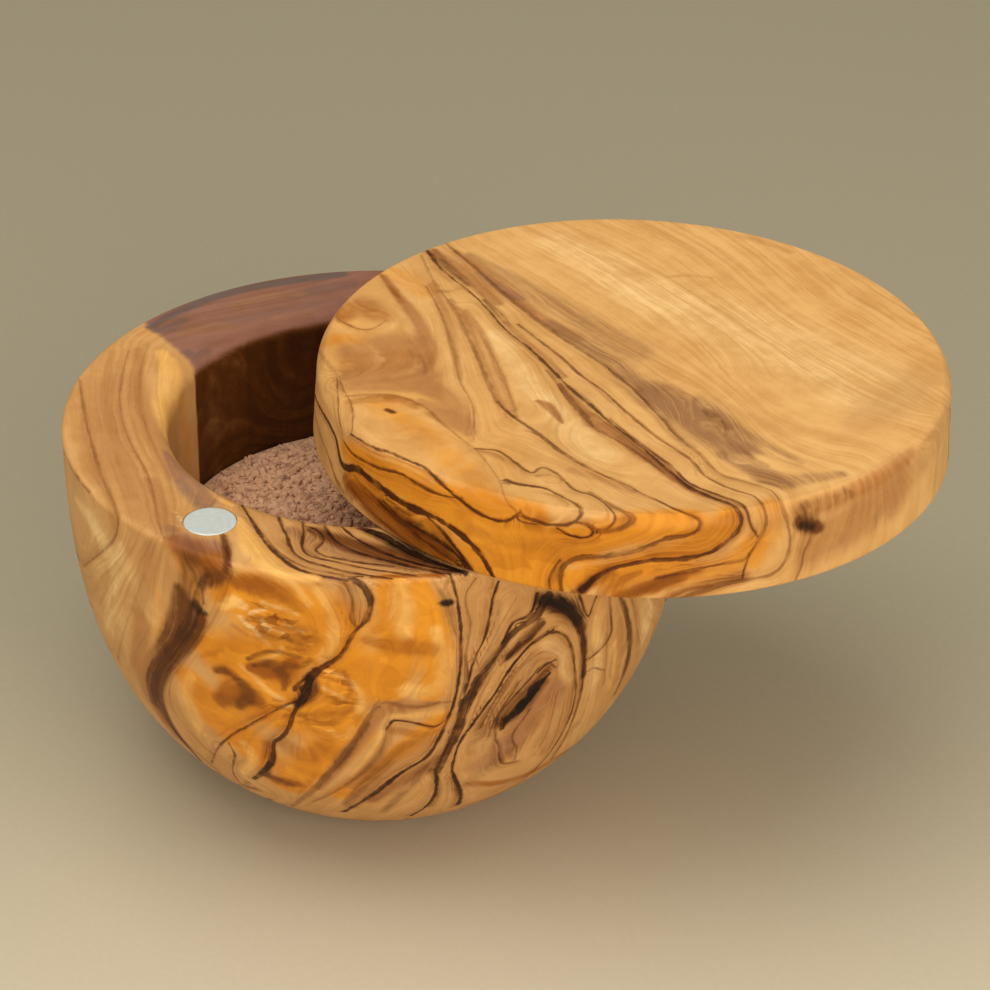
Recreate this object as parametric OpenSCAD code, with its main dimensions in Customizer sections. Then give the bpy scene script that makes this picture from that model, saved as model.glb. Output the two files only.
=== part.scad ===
// Turned wooden salt keeper with a lid that swings sideways on an upright pin.
// Origin at the centre of the foot. +Z is up, -Y is the front, where the magnets meet, and the pin is at the back.

/* [Bowl] */
// Diameter of the rim, which the closed lid covers
bowl_d = 100; // [84:1:130]
// Height of the rim above the table
bowl_h = 65; // [52:1:90]
// Diameter of the flat foot
foot_d = 44; // [36:1:54]
// How far the outline's lower handle stays inside the rim's radius
flare_inset = 2; // [0:0.5:6]
// How high the outline's lower handle stands above the table
flare_h = 16; // [12:0.5:20]
// How far the outline's upper handle stands out past the rim
belly_w = 0.3; // [0:0.1:1]
// How far the outline's upper handle hangs below the rim
belly_h = 26; // [20:0.5:36]
// Small rounding of the rim's outer edge
rim_round = 0.8; // [0.4:0.1:2]

/* [Well] */
// Width of the rim, from the well to the outside
wall_t = 16.5; // [13:0.5:20]
// Thickness of wood under the well
floor_t = 12; // [9:0.5:16]
// Radius of the well's bottom corner
well_round = 14; // [8:0.5:20]
// Rounding of the mouth's edge
mouth_round = 3; // [1:0.25:4]

/* [Lid] */
// Thickness of the lid
lid_t = 13; // [11:0.5:18]
// How much the lid's side draws in between its lower and its upper edge
lid_draft = 0.7; // [0:0.1:2]
// Rounding of the lid's upper edge
lid_round = 3; // [1:0.25:4]
// How far the flat top is skimmed below the rounding's crest, which leaves a crisp edge
lid_skim = 0.5; // [0:0.1:0.8]
// Rounding of the lid's lower edge
lid_low_round = 0.4; // [0.2:0.1:1]
// Running gap between the rim and the lid
lid_gap = 0.2; // [0.1:0.05:0.5]
// How far the lid is drawn swung open, 0 is closed
lid_swing = 57.5; // [0:0.5:180]

/* [Pivot pin] */
// Diameter of the pin
pin_d = 4; // [3:0.25:6]
// Length of the pin in the bowl
pin_seat = 16; // [12:1:24]
// Wood left over the pin's hole in the lid
pin_cover = 4; // [3:0.5:6]
// Room between the pin's top and the end of its hole
pin_end_gap = 1; // [0.5:0.25:2]
// Radial clearance on which the lid turns
pin_run = 0.05; // [0.02:0.01:0.1]
// Radial interference that holds the pin in the bowl
pin_press = 0.01; // [0.005:0.005:0.03]
// Bevel at both ends of the pin
pin_bevel = 0.4; // [0.2:0.1:0.8]

/* [Magnets] */
// Diameter of both disc magnets
magnet_d = 8; // [6:0.5:10]
// Thickness of both disc magnets
magnet_t = 3; // [2:0.5:4]
// Radial room for glue round a magnet
magnet_fit = 0.05; // [0.02:0.01:0.2]
// Bevel round the face of a magnet
magnet_bevel = 0.3; // [0.1:0.1:0.6]

/* [Salt] */
// How far the salt's edge lies below the rim
salt_drop = 22; // [14:1:34]
// How much higher the salt stands in the middle than at its edge
salt_crown = 3; // [1:0.5:6]
// Room between the salt and the wood
salt_gap = 0.3; // [0.2:0.05:0.5]

/* [Hidden] */
$fn = 96;

// Number of straight stretches in the bowl's outline
outline_steps = 28;
// How far a cutting shape runs past the face it cuts
over = 1;

bowl_r = bowl_d / 2;
foot_r = foot_d / 2;
well_r = bowl_r - wall_t;
// The pin and both magnets stand in the middle of the rim's width.
pivot_r = (bowl_r + well_r) / 2;
pin_r = pin_d / 2;
pin_hole_depth = lid_t - pin_cover;
magnet_r = magnet_d / 2;
pocket_r = magnet_r + magnet_fit;
lid_z = bowl_h + lid_gap;
lid_top_r = bowl_r - lid_draft;
lid_crest = lid_t + lid_skim;
pin_bottom = bowl_h - pin_seat;
pin_top = lid_z + pin_hole_depth - pin_end_gap;
salt_edge_z = bowl_h - salt_drop;
salt_r = well_r - salt_gap;

// Point at share t of the curve whose four handles are p.
function curve_point(p, t) =
    pow(1 - t, 3) * p[0]
    + 3 * t * pow(1 - t, 2) * p[1]
    + 3 * pow(t, 2) * (1 - t) * p[2]
    + pow(t, 3) * p[3];

bowl_handles = [
    [foot_r, 0],
    [bowl_r - flare_inset, flare_h],
    [bowl_r + belly_w, bowl_h - belly_h],
    [bowl_r, bowl_h]
];

bowl_outline = [for (i = [0 : outline_steps]) curve_point(bowl_handles, i / outline_steps)];

// What a rounding of radius r takes off a square corner at the origin, the wood lying towards -X and -Y.
module corner_waste(r) {
    difference() {
        translate([-r, -r])
            square(r + over);
        translate([-r, -r])
            circle(r);
    }
}

// Section of the well, drawn in by inset and closed at height top.
module well_section(inset, top) {
    r = well_r - inset;
    low = floor_t + inset;
    corner = well_round - inset;
    translate([0, low])
        square([r - corner, corner]);
    translate([0, low + corner])
        square([r, top - low - corner]);
    intersection() {
        translate([r - corner, low + corner])
            circle(corner);
        translate([0, low])
            square([r, corner]);
    }
}

// Puts a piece at the pin's place in the rim, or opposite to it where side is -1.
module at_rim(side, z) {
    translate([0, side * pivot_r, z])
        children();
}

// Carries a piece of the lid from closed to where the lid is drawn.
module swung() {
    at_rim(1, 0)
        rotate([0, 0, lid_swing])
            at_rim(-1, 0)
                children();
}

// Disc magnet standing on the origin, with its shiny face up.
module disc_magnet() {
    rotate_extrude()
        polygon([
            [0, 0],
            [magnet_r, 0],
            [magnet_r, magnet_t - magnet_bevel],
            [magnet_r - magnet_bevel, magnet_t],
            [0, magnet_t]
        ]);
}

module bowl() {
    color([0.74, 0.48, 0.24])
        difference() {
            rotate_extrude()
                difference() {
                    polygon(concat([[0, 0]], bowl_outline, [[0, bowl_h]]));
                    well_section(0, bowl_h + over);
                    translate([bowl_r, bowl_h])
                        corner_waste(rim_round);
                    translate([well_r, bowl_h])
                        mirror([1, 0])
                            corner_waste(mouth_round);
                }
            at_rim(1, bowl_h - pin_seat)
                cylinder(h = pin_seat + over, r = pin_r - pin_press);
            at_rim(-1, bowl_h - magnet_t)
                cylinder(h = magnet_t + over, r = pocket_r);
        }
}

module lid() {
    color([0.84, 0.58, 0.30])
        swung()
            translate([0, 0, lid_z])
                difference() {
                    rotate_extrude()
                        difference() {
                            polygon([
                                [0, 0],
                                [bowl_r, 0],
                                [lid_top_r, lid_crest - lid_round],
                                [lid_top_r, lid_t],
                                [0, lid_t]
                            ]);
                            translate([lid_top_r, lid_crest])
                                corner_waste(lid_round);
                            translate([bowl_r, 0])
                                mirror([0, 1])
                                    corner_waste(lid_low_round);
                        }
                    at_rim(1, -over)
                        cylinder(h = pin_hole_depth + over, r = pin_r + pin_run);
                    at_rim(-1, -over)
                        cylinder(h = magnet_t + over, r = pocket_r);
                }
}

module pivot_pin() {
    color([0.72, 0.73, 0.75])
        at_rim(1, 0)
            rotate_extrude()
                polygon([
                    [0, pin_bottom],
                    [pin_r - pin_bevel, pin_bottom],
                    [pin_r, pin_bottom + pin_bevel],
                    [pin_r, pin_top - pin_bevel],
                    [pin_r - pin_bevel, pin_top],
                    [0, pin_top]
                ]);
}

module rim_magnet() {
    color([0.82, 0.84, 0.85])
        at_rim(-1, bowl_h - magnet_t)
            disc_magnet();
}

module lid_magnet() {
    color([0.78, 0.80, 0.82])
        swung()
            at_rim(-1, lid_z + magnet_t)
                mirror([0, 0, 1])
                    disc_magnet();
}

// Loose coarse salt as one solid: the well's own shape, a small gap smaller, under a shallow crown.
module salt_fill() {
    crown_r = (salt_r * salt_r + salt_crown * salt_crown) / (2 * salt_crown);
    color([0.76, 0.58, 0.50])
        rotate_extrude()
            intersection() {
                well_section(salt_gap, bowl_h);
                translate([0, salt_edge_z + salt_crown - crown_r])
                    circle(crown_r, $fn = 720);
            }
}

bowl();
lid();
pivot_pin();
rim_magnet();
lid_magnet();
salt_fill();
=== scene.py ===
import math

import bpy
import numpy as np
from mathutils import Matrix, Vector
from mathutils.bvhtree import BVHTree
from mathutils.kdtree import KDTree


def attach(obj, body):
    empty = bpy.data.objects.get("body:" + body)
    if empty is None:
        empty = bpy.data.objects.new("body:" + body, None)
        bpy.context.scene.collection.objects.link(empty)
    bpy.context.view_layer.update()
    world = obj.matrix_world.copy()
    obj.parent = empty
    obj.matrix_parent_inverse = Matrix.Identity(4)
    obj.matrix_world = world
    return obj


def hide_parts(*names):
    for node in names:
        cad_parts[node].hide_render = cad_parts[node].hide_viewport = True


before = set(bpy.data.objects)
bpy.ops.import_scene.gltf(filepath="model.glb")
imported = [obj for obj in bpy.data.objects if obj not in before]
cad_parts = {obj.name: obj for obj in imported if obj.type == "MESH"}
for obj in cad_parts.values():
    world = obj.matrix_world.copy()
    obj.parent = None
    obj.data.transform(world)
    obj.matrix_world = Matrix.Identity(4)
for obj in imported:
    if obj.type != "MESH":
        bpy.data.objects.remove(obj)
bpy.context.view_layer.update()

MM = 0.001
SEED = 7
TINY = 1e-6

# The part's own sizes, in mm
RIM_R = 50.0
RIM_Z = 65.0
FOOT_R = 22.0
OUTLINE_HANDLES = ((FOOT_R, 0.0), (48.0, 16.0), (50.3, 39.0), (RIM_R, RIM_Z))
WELL_R = 33.5
WELL_FLOOR_Z = 12.0
WELL_CORNER_R = 14.0
RIM_ROUND = 0.8
FOOT_EDGE = ((FOOT_R - 0.5, 0.0), (FOOT_R - 0.12, 0.06))
SIDE_START_Z = 0.3
MOUTH_ROUND = 3.0
PIVOT_R = 41.75
LID_SWING = math.radians(57.5)
LID_Z = 65.2
LID_T = 13.0
LID_SKIM = 0.5
LID_DRAFT = 0.7
LID_ROUND = 3.0
LID_LOW_ROUND = 0.4
PIN_R = 2.0
PIN_PRESS = 0.01
PIN_RUN = 0.05
PIN_SEAT = 16.0
PIN_HOLE_DEPTH = 9.0
MAGNET_R = 4.0
MAGNET_T = 3.0
POCKET_R = 4.05
SALT_R = 33.2
SALT_FLOOR_Z = 12.3
SALT_EDGE_Z = 43.0
SALT_CROWN = 3.0
SHOWN_WALL_Z = SALT_EDGE_Z - 4
LID_X = PIVOT_R * math.sin(LID_SWING)
LID_Y = PIVOT_R * (1 - math.cos(LID_SWING))
LID_MAGNET_PLACE = (2 * LID_X, 2 * LID_Y - PIVOT_R)

# The photograph's camera, with distances in mm
FRAME_PX = 990
SENSOR_MM = 36.0
EYE_DISTANCE = 425.218
EYE_ELEVATION = math.radians(29.466)
EYE_YAW = math.radians(2.92)
EYE_PITCH = math.radians(1.827)
EYE_ROLL = math.radians(1.121)
EYE_TURN = math.radians(36.91)
FOCAL_PX = 2662.957
CLIP_M = (0.01, 20.0)


def turned_about_z(v, angle):
    c, s = math.cos(angle), math.sin(angle)
    return np.array([c * v[0] - s * v[1], s * v[0] + c * v[1], v[2]])


def photo_camera():
    """Eye point in mm and the unit vectors to the right, up and ahead of the photograph's camera."""
    eye = np.array([0.0, -math.cos(EYE_ELEVATION), math.sin(EYE_ELEVATION)]) * EYE_DISTANCE
    eye[2] += RIM_Z
    dip = EYE_ELEVATION + EYE_PITCH
    ahead = np.array([math.sin(EYE_YAW) * math.cos(dip), math.cos(EYE_YAW) * math.cos(dip), -math.sin(dip)])
    right = np.array([math.cos(EYE_YAW), -math.sin(EYE_YAW), 0.0])
    up = np.cross(right, ahead)
    c, s = math.cos(EYE_ROLL), math.sin(EYE_ROLL)
    right, up = c * right + s * up, c * up - s * right
    return [turned_about_z(v, EYE_TURN) for v in (eye, right, up, ahead)]


EYE, EYE_RIGHT, EYE_UP, EYE_AHEAD = photo_camera()


def add_camera():
    data = bpy.data.cameras.new("photo_camera")
    data.sensor_width = SENSOR_MM
    data.lens = FOCAL_PX / FRAME_PX * SENSOR_MM
    data.clip_start, data.clip_end = CLIP_M
    cam = bpy.data.objects.new("photo_camera", data)
    columns = [EYE_RIGHT, EYE_UP, -EYE_AHEAD]
    cam.matrix_world = Matrix(
        [[columns[j][i] for j in range(3)] + [EYE[i] * MM] for i in range(3)] + [[0, 0, 0, 1]]
    )
    bpy.context.scene.collection.objects.link(cam)
    bpy.context.scene.camera = cam


# Steps of the outlines' curves, and how the lid's crisp edge is broken
OUTLINE_POINTS = 97
RIM_STEPS = 8
MOUTH_STEPS = 14
CORNER_STEPS = 24
LID_LOW_STEPS = 6
LID_HIGH_STEPS = 12
EDGE_SOFT = 0.22


def arc(cx, cz, radius, start_deg, end_deg, steps):
    angles = np.radians(np.linspace(start_deg, end_deg, steps + 1))
    return [(cx + radius * math.cos(a), cz + radius * math.sin(a)) for a in angles]


def spaced(points, gap):
    """The outline with extra points, so that no stretch is longer than gap."""
    out = [points[0]]
    for (r0, z0), (r1, z1) in zip(points, points[1:]):
        length = math.hypot(r1 - r0, z1 - z0)
        if length < TINY:
            continue
        n = max(1, math.ceil(length / gap))
        for i in range(1, n + 1):
            out.append((r0 + (r1 - r0) * i / n, z0 + (z1 - z0) * i / n))
    return out


def lathe(name, outline, segments, centre=(0.0, 0.0)):
    """A closed solid turned from an outline that starts and ends on the axis."""
    rings = outline[1:-1]
    angles = np.arange(segments) * (2 * math.pi / segments)
    cos, sin = np.cos(angles), np.sin(angles)
    verts = [np.array([[0.0, 0.0, outline[0][1]]])]
    for r, z in rings:
        verts.append(np.column_stack([r * cos, r * sin, np.full(segments, z)]))
    verts.append(np.array([[0.0, 0.0, outline[-1][1]]]))
    verts = np.vstack(verts)
    verts[:, 0] += centre[0]
    verts[:, 1] += centre[1]
    faces = []
    last = len(verts) - 1
    for i in range(segments):
        j = (i + 1) % segments
        faces.append((0, 1 + j, 1 + i))
        for k in range(len(rings) - 1):
            a = 1 + k * segments
            b = a + segments
            faces.append((a + i, a + j, b + j, b + i))
        a = 1 + (len(rings) - 1) * segments
        faces.append((last, a + i, a + j))
    return new_mesh_object(name, verts, faces)


def new_mesh_object(name, verts_mm, faces):
    mesh = bpy.data.meshes.new(name)
    mesh.from_pydata((np.asarray(verts_mm) * MM).tolist(), [], faces)
    mesh.update()
    obj = bpy.data.objects.new(name, mesh)
    bpy.context.scene.collection.objects.link(obj)
    return obj


def smooth(obj, degrees=30.0):
    obj.data.shade_smooth()
    obj.data.set_sharp_from_angle(angle=math.radians(degrees))


def bore(obj, centre, z0, z1, radius, segments=96):
    """Cuts an upright round hole out of obj."""
    tool = lathe("bore_tool", [(0, z0), (radius, z0), (radius, z1), (0, z1)], segments, centre)
    cut = obj.modifiers.new("bore", "BOOLEAN")
    cut.operation = "DIFFERENCE"
    cut.object = tool
    cut.solver = "MANIFOLD"
    apply_modifiers(obj)
    bpy.data.objects.remove(tool)


def apply_modifiers(obj):
    bpy.context.view_layer.update()
    graph = bpy.context.evaluated_depsgraph_get()
    mesh = bpy.data.meshes.new_from_object(obj.evaluated_get(graph))
    obj.modifiers.clear()
    old = obj.data
    obj.data = mesh
    bpy.data.meshes.remove(old)
    mesh.name = obj.name


def bowl_outline(gap):
    """Section of the bowl from the foot's centre, up the outside, over the rim and down into the well."""
    handles = [np.array(h) for h in OUTLINE_HANDLES]
    outside = []
    for t in np.linspace(0, 1, OUTLINE_POINTS):
        p = (
            (1 - t) ** 3 * handles[0]
            + 3 * t * (1 - t) ** 2 * handles[1]
            + 3 * t * t * (1 - t) * handles[2]
            + t ** 3 * handles[3]
        )
        outside.append((float(p[0]), float(p[1])))
    foot_edge = [(0.0, 0.0), *FOOT_EDGE]
    side = [p for p in outside if SIDE_START_Z < p[1] < RIM_Z - RIM_ROUND]
    rim_edge = arc(RIM_R - RIM_ROUND, RIM_Z - RIM_ROUND, RIM_ROUND, 0, 90, RIM_STEPS)
    mouth = arc(WELL_R + MOUTH_ROUND, RIM_Z - MOUTH_ROUND, MOUTH_ROUND, 90, 180, MOUTH_STEPS)
    corner = arc(WELL_R - WELL_CORNER_R, WELL_FLOOR_Z + WELL_CORNER_R, WELL_CORNER_R, 0, -90, CORNER_STEPS)
    shown = spaced(side + rim_edge + mouth + [(WELL_R, SHOWN_WALL_Z)], gap)
    hidden = spaced([(WELL_R, SHOWN_WALL_Z)] + corner + [(0.0, WELL_FLOOR_Z)], 4 * gap)
    return spaced(foot_edge, 3 * gap) + shown + hidden[1:]


def soft_corner(before, corner, after, reach, steps=4):
    """The corner replaced by a short curve that starts and ends reach away from it."""
    c = np.array(corner)
    back, on = np.array(before) - c, np.array(after) - c
    a = c + back / np.linalg.norm(back) * min(reach, 0.5 * math.dist(before, corner))
    b = c + on / np.linalg.norm(on) * reach
    return [tuple((1 - t) ** 2 * a + 2 * t * (1 - t) * c + t * t * b) for t in np.linspace(0, 1, steps + 1)]


def lid_outline(gap):
    """Section of the lid from the middle of its underside, up the side and in over the flat top."""
    top_r = RIM_R - LID_DRAFT
    low = arc(RIM_R - LID_LOW_ROUND, LID_Z + LID_LOW_ROUND, LID_LOW_ROUND, -90, 0, LID_LOW_STEPS)
    crest = math.degrees(math.asin((LID_ROUND - LID_SKIM) / LID_ROUND))
    high_z = LID_Z + LID_T + LID_SKIM - LID_ROUND
    high = arc(top_r - LID_ROUND, high_z, LID_ROUND, 0, crest, LID_HIGH_STEPS)
    high = high[:-1] + soft_corner(high[-2], high[-1], (0.0, LID_Z + LID_T), EDGE_SOFT)
    under = spaced([(0.0, LID_Z), low[0]], 2 * gap)
    return under + spaced(low + high + [(0.0, LID_Z + LID_T)], gap)[1:]


# The wood's figure. Each line follows a growth ring that shows in the photograph: its ring number, how dark
# it is, its half width in mm from one end to the other, and the pixels it passes.
LID_LINES = {
    "heavy_vein": (3, 1.0, (0.3, 0.4, 0.5, 0.8, 0.7, 0.75, 0.6, 0.7, 0.6), [
        (313, 385), (316, 400), (323, 413), (331, 427), (337, 440), (339, 455), (342, 466), (349, 469),
        (356, 467), (364, 474), (374, 483), (386, 491), (398, 501), (410, 507), (425, 513), (440, 520),
        (455, 530), (468, 541), (478, 551), (485, 562), (490, 572), (494, 579)]),
    "heavy_twin": (2.6, 0.65, (0.15, 0.25, 0.3), [
        (313, 400), (316, 420), (322, 440), (330, 460), (335, 478), (342, 490)]),
    "under_vein": (4, 0.85, (0.2, 0.35, 0.3, 0.3, 0.15), [
        (346, 445), (353, 455), (364, 461), (376, 467), (389, 471), (400, 473), (411, 480), (423, 487),
        (436, 494), (450, 497), (458, 498)]),
    "side_vein": (5, 0.9, (0.2, 0.3, 0.3, 0.35, 0.35, 0.35), [
        (352, 435), (365, 443), (378, 450), (390, 452), (401, 458), (415, 463), (426, 468), (436, 478),
        (446, 488), (456, 497), (464, 503), (474, 511), (486, 517), (498, 522), (508, 521),
        (517, 515)]),
    "mark_vein": (6, 0.45, (0.5, 0.5, 0.35, 0.25, 0.25, 0.25, 0.25), [
        (350, 396), (375, 394), (400, 396), (415, 402), (428, 409), (440, 422), (455, 434), (474, 448),
        (485, 460), (495, 473), (501, 484), (503, 494), (508, 503), (516, 511)]),
    "loop_feeder": (7, 0.5, (0.3, 0.3, 0.35, 0.3, 0.2, 0.15), [
        (427, 288), (437, 305), (445, 322), (450, 340), (455, 355), (458, 372), (461, 384), (468, 395),
        (473, 404), (475, 420), (474, 438)]),
    "loop_top": (6.6, 0.75, (0.3, 0.35, 0.3, 0.35, 0.25, 0.3, 0.35), [
        (478, 449), (488, 449), (497, 450), (506, 455), (516, 463), (525, 470), (533, 474), (538, 468),
        (547, 468), (556, 473), (565, 481), (572, 489), (580, 492), (590, 494), (600, 500), (610, 508),
        (616, 517), (612, 526), (605, 530), (597, 530), (588, 524), (578, 522), (572, 523)]),
    "loop_one": (6.3, 0.8, (0.5, 0.35, 0.3, 0.35, 0.4, 0.35), [
        (508, 481), (516, 484), (530, 486), (545, 488), (555, 493), (565, 498), (575, 503), (582, 510),
        (581, 517), (574, 523), (565, 525), (550, 525), (535, 521), (519, 515)]),
    "loop_shade": (6.9, 0.6, (0.3, 0.5, 0.6, 0.3), [
        (592, 494), (605, 502), (620, 510), (636, 518), (626, 527), (612, 531), (600, 532)]),
    "loop_three": (6.4, 0.95, (0.2, 0.3, 0.2), [
        (560, 530), (568, 535), (580, 538), (591, 537), (595, 531), (588, 526), (578, 522)]),
    "loop_tick": (6.1, 0.85, (0.2, 0.15), [(519, 520), (525, 523), (533, 524)]),
    "pale_twin": (8.6, 0.35, (0.25, 0.35, 0.45, 0.4), [
        (464, 312), (472, 324), (480, 333), (488, 346), (495, 360), (502, 375), (508, 390), (513, 403),
        (517, 416)]),
    "long_thin_start": (9, 0.5, (0.4, 0.45, 0.5, 0.45, 0.5, 0.4), [
        (422, 257), (428, 270), (434, 282), (441, 292), (450, 303), (458, 315), (464, 328), (471, 342),
        (477, 356), (483, 371), (489, 386), (496, 401)]),
    "long_thin": (9, 0.75, (0.35, 0.45, 0.4, 0.3, 0.25, 0.3, 0.5, 0.55, 0.5, 0.5), [
        (496, 401), (505, 410), (518, 420), (530, 428), (545, 439), (557, 449), (570, 458), (585, 466),
        (600, 474), (615, 480), (628, 485), (640, 493), (655, 499), (670, 507), (685, 513), (696, 517),
        (701, 523), (697, 532), (685, 536), (666, 538), (651, 545), (636, 551), (616, 555), (600, 557),
        (585, 556), (571, 560), (563, 566), (560, 576), (561, 592)]),
    "long_tail": (8.2, 0.7, (0.25, 0.4, 0.3), [(558, 563), (553, 570), (549, 578), (550, 590)]),
    "main_double": (10, 0.85, (
        0.45, 0.35, 0.3, 0.3, 0.35, 0.45, 0.35, 0.35, 0.45, 0.5, 0.5, 0.55, 0.5, 0.5, 0.6), [
        (428, 252), (436, 263), (444, 272), (453, 279), (463, 286), (473, 294), (481, 302), (490, 312),
        (498, 322), (508, 332), (518, 340), (528, 347), (538, 356), (549, 367), (560, 378), (570, 388),
        (580, 397), (590, 405), (600, 414), (612, 424), (625, 434), (640, 446), (652, 456), (663, 466),
        (675, 476), (688, 487), (701, 493), (716, 499), (729, 503), (738, 510), (742, 520), (739, 530),
        (729, 540), (716, 550), (700, 556), (680, 559), (655, 560), (640, 562), (625, 565), (608, 570),
        (596, 577), (584, 588)]),
    "main_smear": (9.8, 0.6, (0.3, 0.6, 0.9, 0.4, 0.3, 0.5, 0.3), [
        (548, 372), (557, 382), (566, 394), (576, 407), (586, 417), (593, 427), (602, 433), (614, 439),
        (627, 446), (640, 455), (651, 463), (662, 471)]),
    "main_branch": (10.4, 0.8, (0.2, 0.3, 0.35, 0.3, 0.25, 0.3), [
        (612, 421), (630, 436), (645, 447), (659, 457), (673, 467), (684, 480), (698, 488), (713, 493),
        (729, 499), (742, 503), (748, 513), (750, 525), (756, 534)]),
    "upper_smear": (10.6, 0.4, (0.7, 0.9, 0.7, 0.4, 0.3), [
        (436, 251), (446, 262), (457, 271), (468, 282), (480, 294), (492, 305), (505, 317)]),
    "outer_thin": (11, 0.7, (0.3, 0.35, 0.3, 0.3, 0.35, 0.3, 0.35, 0.4, 0.35), [
        (520, 326), (540, 341), (555, 352), (568, 363), (580, 375), (592, 383), (605, 392), (615, 402),
        (626, 412), (638, 422), (650, 432), (661, 440), (673, 448), (686, 456), (696, 465), (703, 475),
        (713, 481), (726, 487), (741, 492), (755, 496), (763, 505), (767, 518), (765, 530), (758, 541),
        (752, 550), (746, 560), (728, 563), (702, 568), (680, 573), (660, 577)]),
    "outer_drop": (11.4, 0.8, (0.3, 0.25), [(748, 557), (745, 566), (743, 575)]),
    "smoke_edge": (12, 0.6, (0.4, 0.6, 0.5, 0.4, 0.35, 0.4, 0.4, 0.35, 0.3, 0.4, 0.5, 0.45, 0.5), [
        (446, 244), (462, 257), (476, 268), (490, 281), (505, 295), (518, 305), (535, 318), (560, 337),
        (580, 350), (600, 362), (620, 377), (640, 394), (650, 408), (664, 420), (672, 432), (685, 443),
        (700, 454), (710, 466), (722, 476), (740, 480), (755, 485), (770, 489), (778, 497), (783, 510),
        (788, 525), (791, 540), (788, 555), (782, 567), (770, 576), (750, 579), (730, 583), (710, 588),
        (690, 595), (672, 601)]),
    "side_wave": (13, 0.55, (0.25, 0.35, 0.25), [
        (812, 534), (808, 545), (803, 553), (802, 565), (797, 575), (795, 586)]),
    "smoke_fibre_one": (13, 0.3, (0.2, 0.3, 0.2), [
        (640, 362), (662, 378), (684, 392), (700, 402), (708, 418), (722, 434), (735, 450), (752, 464),
        (775, 473)]),
    "smoke_fibre_two": (13.6, 0.3, (0.15, 0.25, 0.15), [
        (650, 358), (676, 372), (700, 385), (722, 402), (742, 425), (760, 445), (780, 460),
        (805, 468)]),
    "smoke_far_edge": (15, 0.0, (0.1,), [
        (485, 232), (530, 255), (580, 285), (630, 318), (680, 355), (720, 385), (752, 415), (782, 440),
        (815, 455), (850, 462)]),
    "pale_one": (18, 0.0, (0.1,), [
        (560, 222), (620, 250), (680, 285), (740, 325), (800, 365), (850, 395), (900, 415),
        (940, 425)]),
    "pale_two": (21, 0.2, (0.2,), [(640, 222), (700, 250), (780, 320), (850, 358), (935, 405)]),
    "left_band": (5.6, 0.2, (0.8, 0.9, 1.0, 0.9, 0.6), [
        (377, 278), (387, 288), (396, 299), (404, 313), (413, 327), (423, 341), (430, 354), (432, 366),
        (426, 376)]),
    "left_arc": (4.8, 0.6, (0.2, 0.35, 0.2), [
        (338, 319), (348, 325), (360, 330), (374, 329), (384, 322)]),
    "left_smear": (4.2, 0.4, (0.3, 0.5, 0.3), [(318, 350), (325, 361), (333, 370), (340, 379)]),
    "left_thin": (4.4, 0.75, (0.15, 0.2), [(337, 380), (338, 398), (338, 415), (342, 432)]),
    "left_second": (5.1, 0.65, (0.15, 0.2), [
        (340, 382), (346, 394), (352, 406), (353, 418), (352, 430)]),
    "figure_one": (2.5, 0.7, (0.2, 0.4, 0.4, 0.3), [
        (356, 478), (366, 490), (380, 503), (396, 519), (415, 534), (436, 550), (455, 563),
        (468, 571)]),
    "figure_two": (2.7, 0.85, (0.2, 0.4, 0.5, 0.3), [
        (385, 503), (400, 518), (420, 530), (440, 541), (455, 553), (468, 566)]),
    "figure_three": (2.85, 0.9, (0.3, 0.5, 0.6, 0.4), [
        (425, 514), (440, 529), (452, 543), (463, 557), (472, 570)]),
    "figure_four": (2.2, 0.5, (0.2, 0.3, 0.2), [
        (350, 486), (362, 503), (380, 520), (400, 537), (425, 553)]),
}
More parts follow.
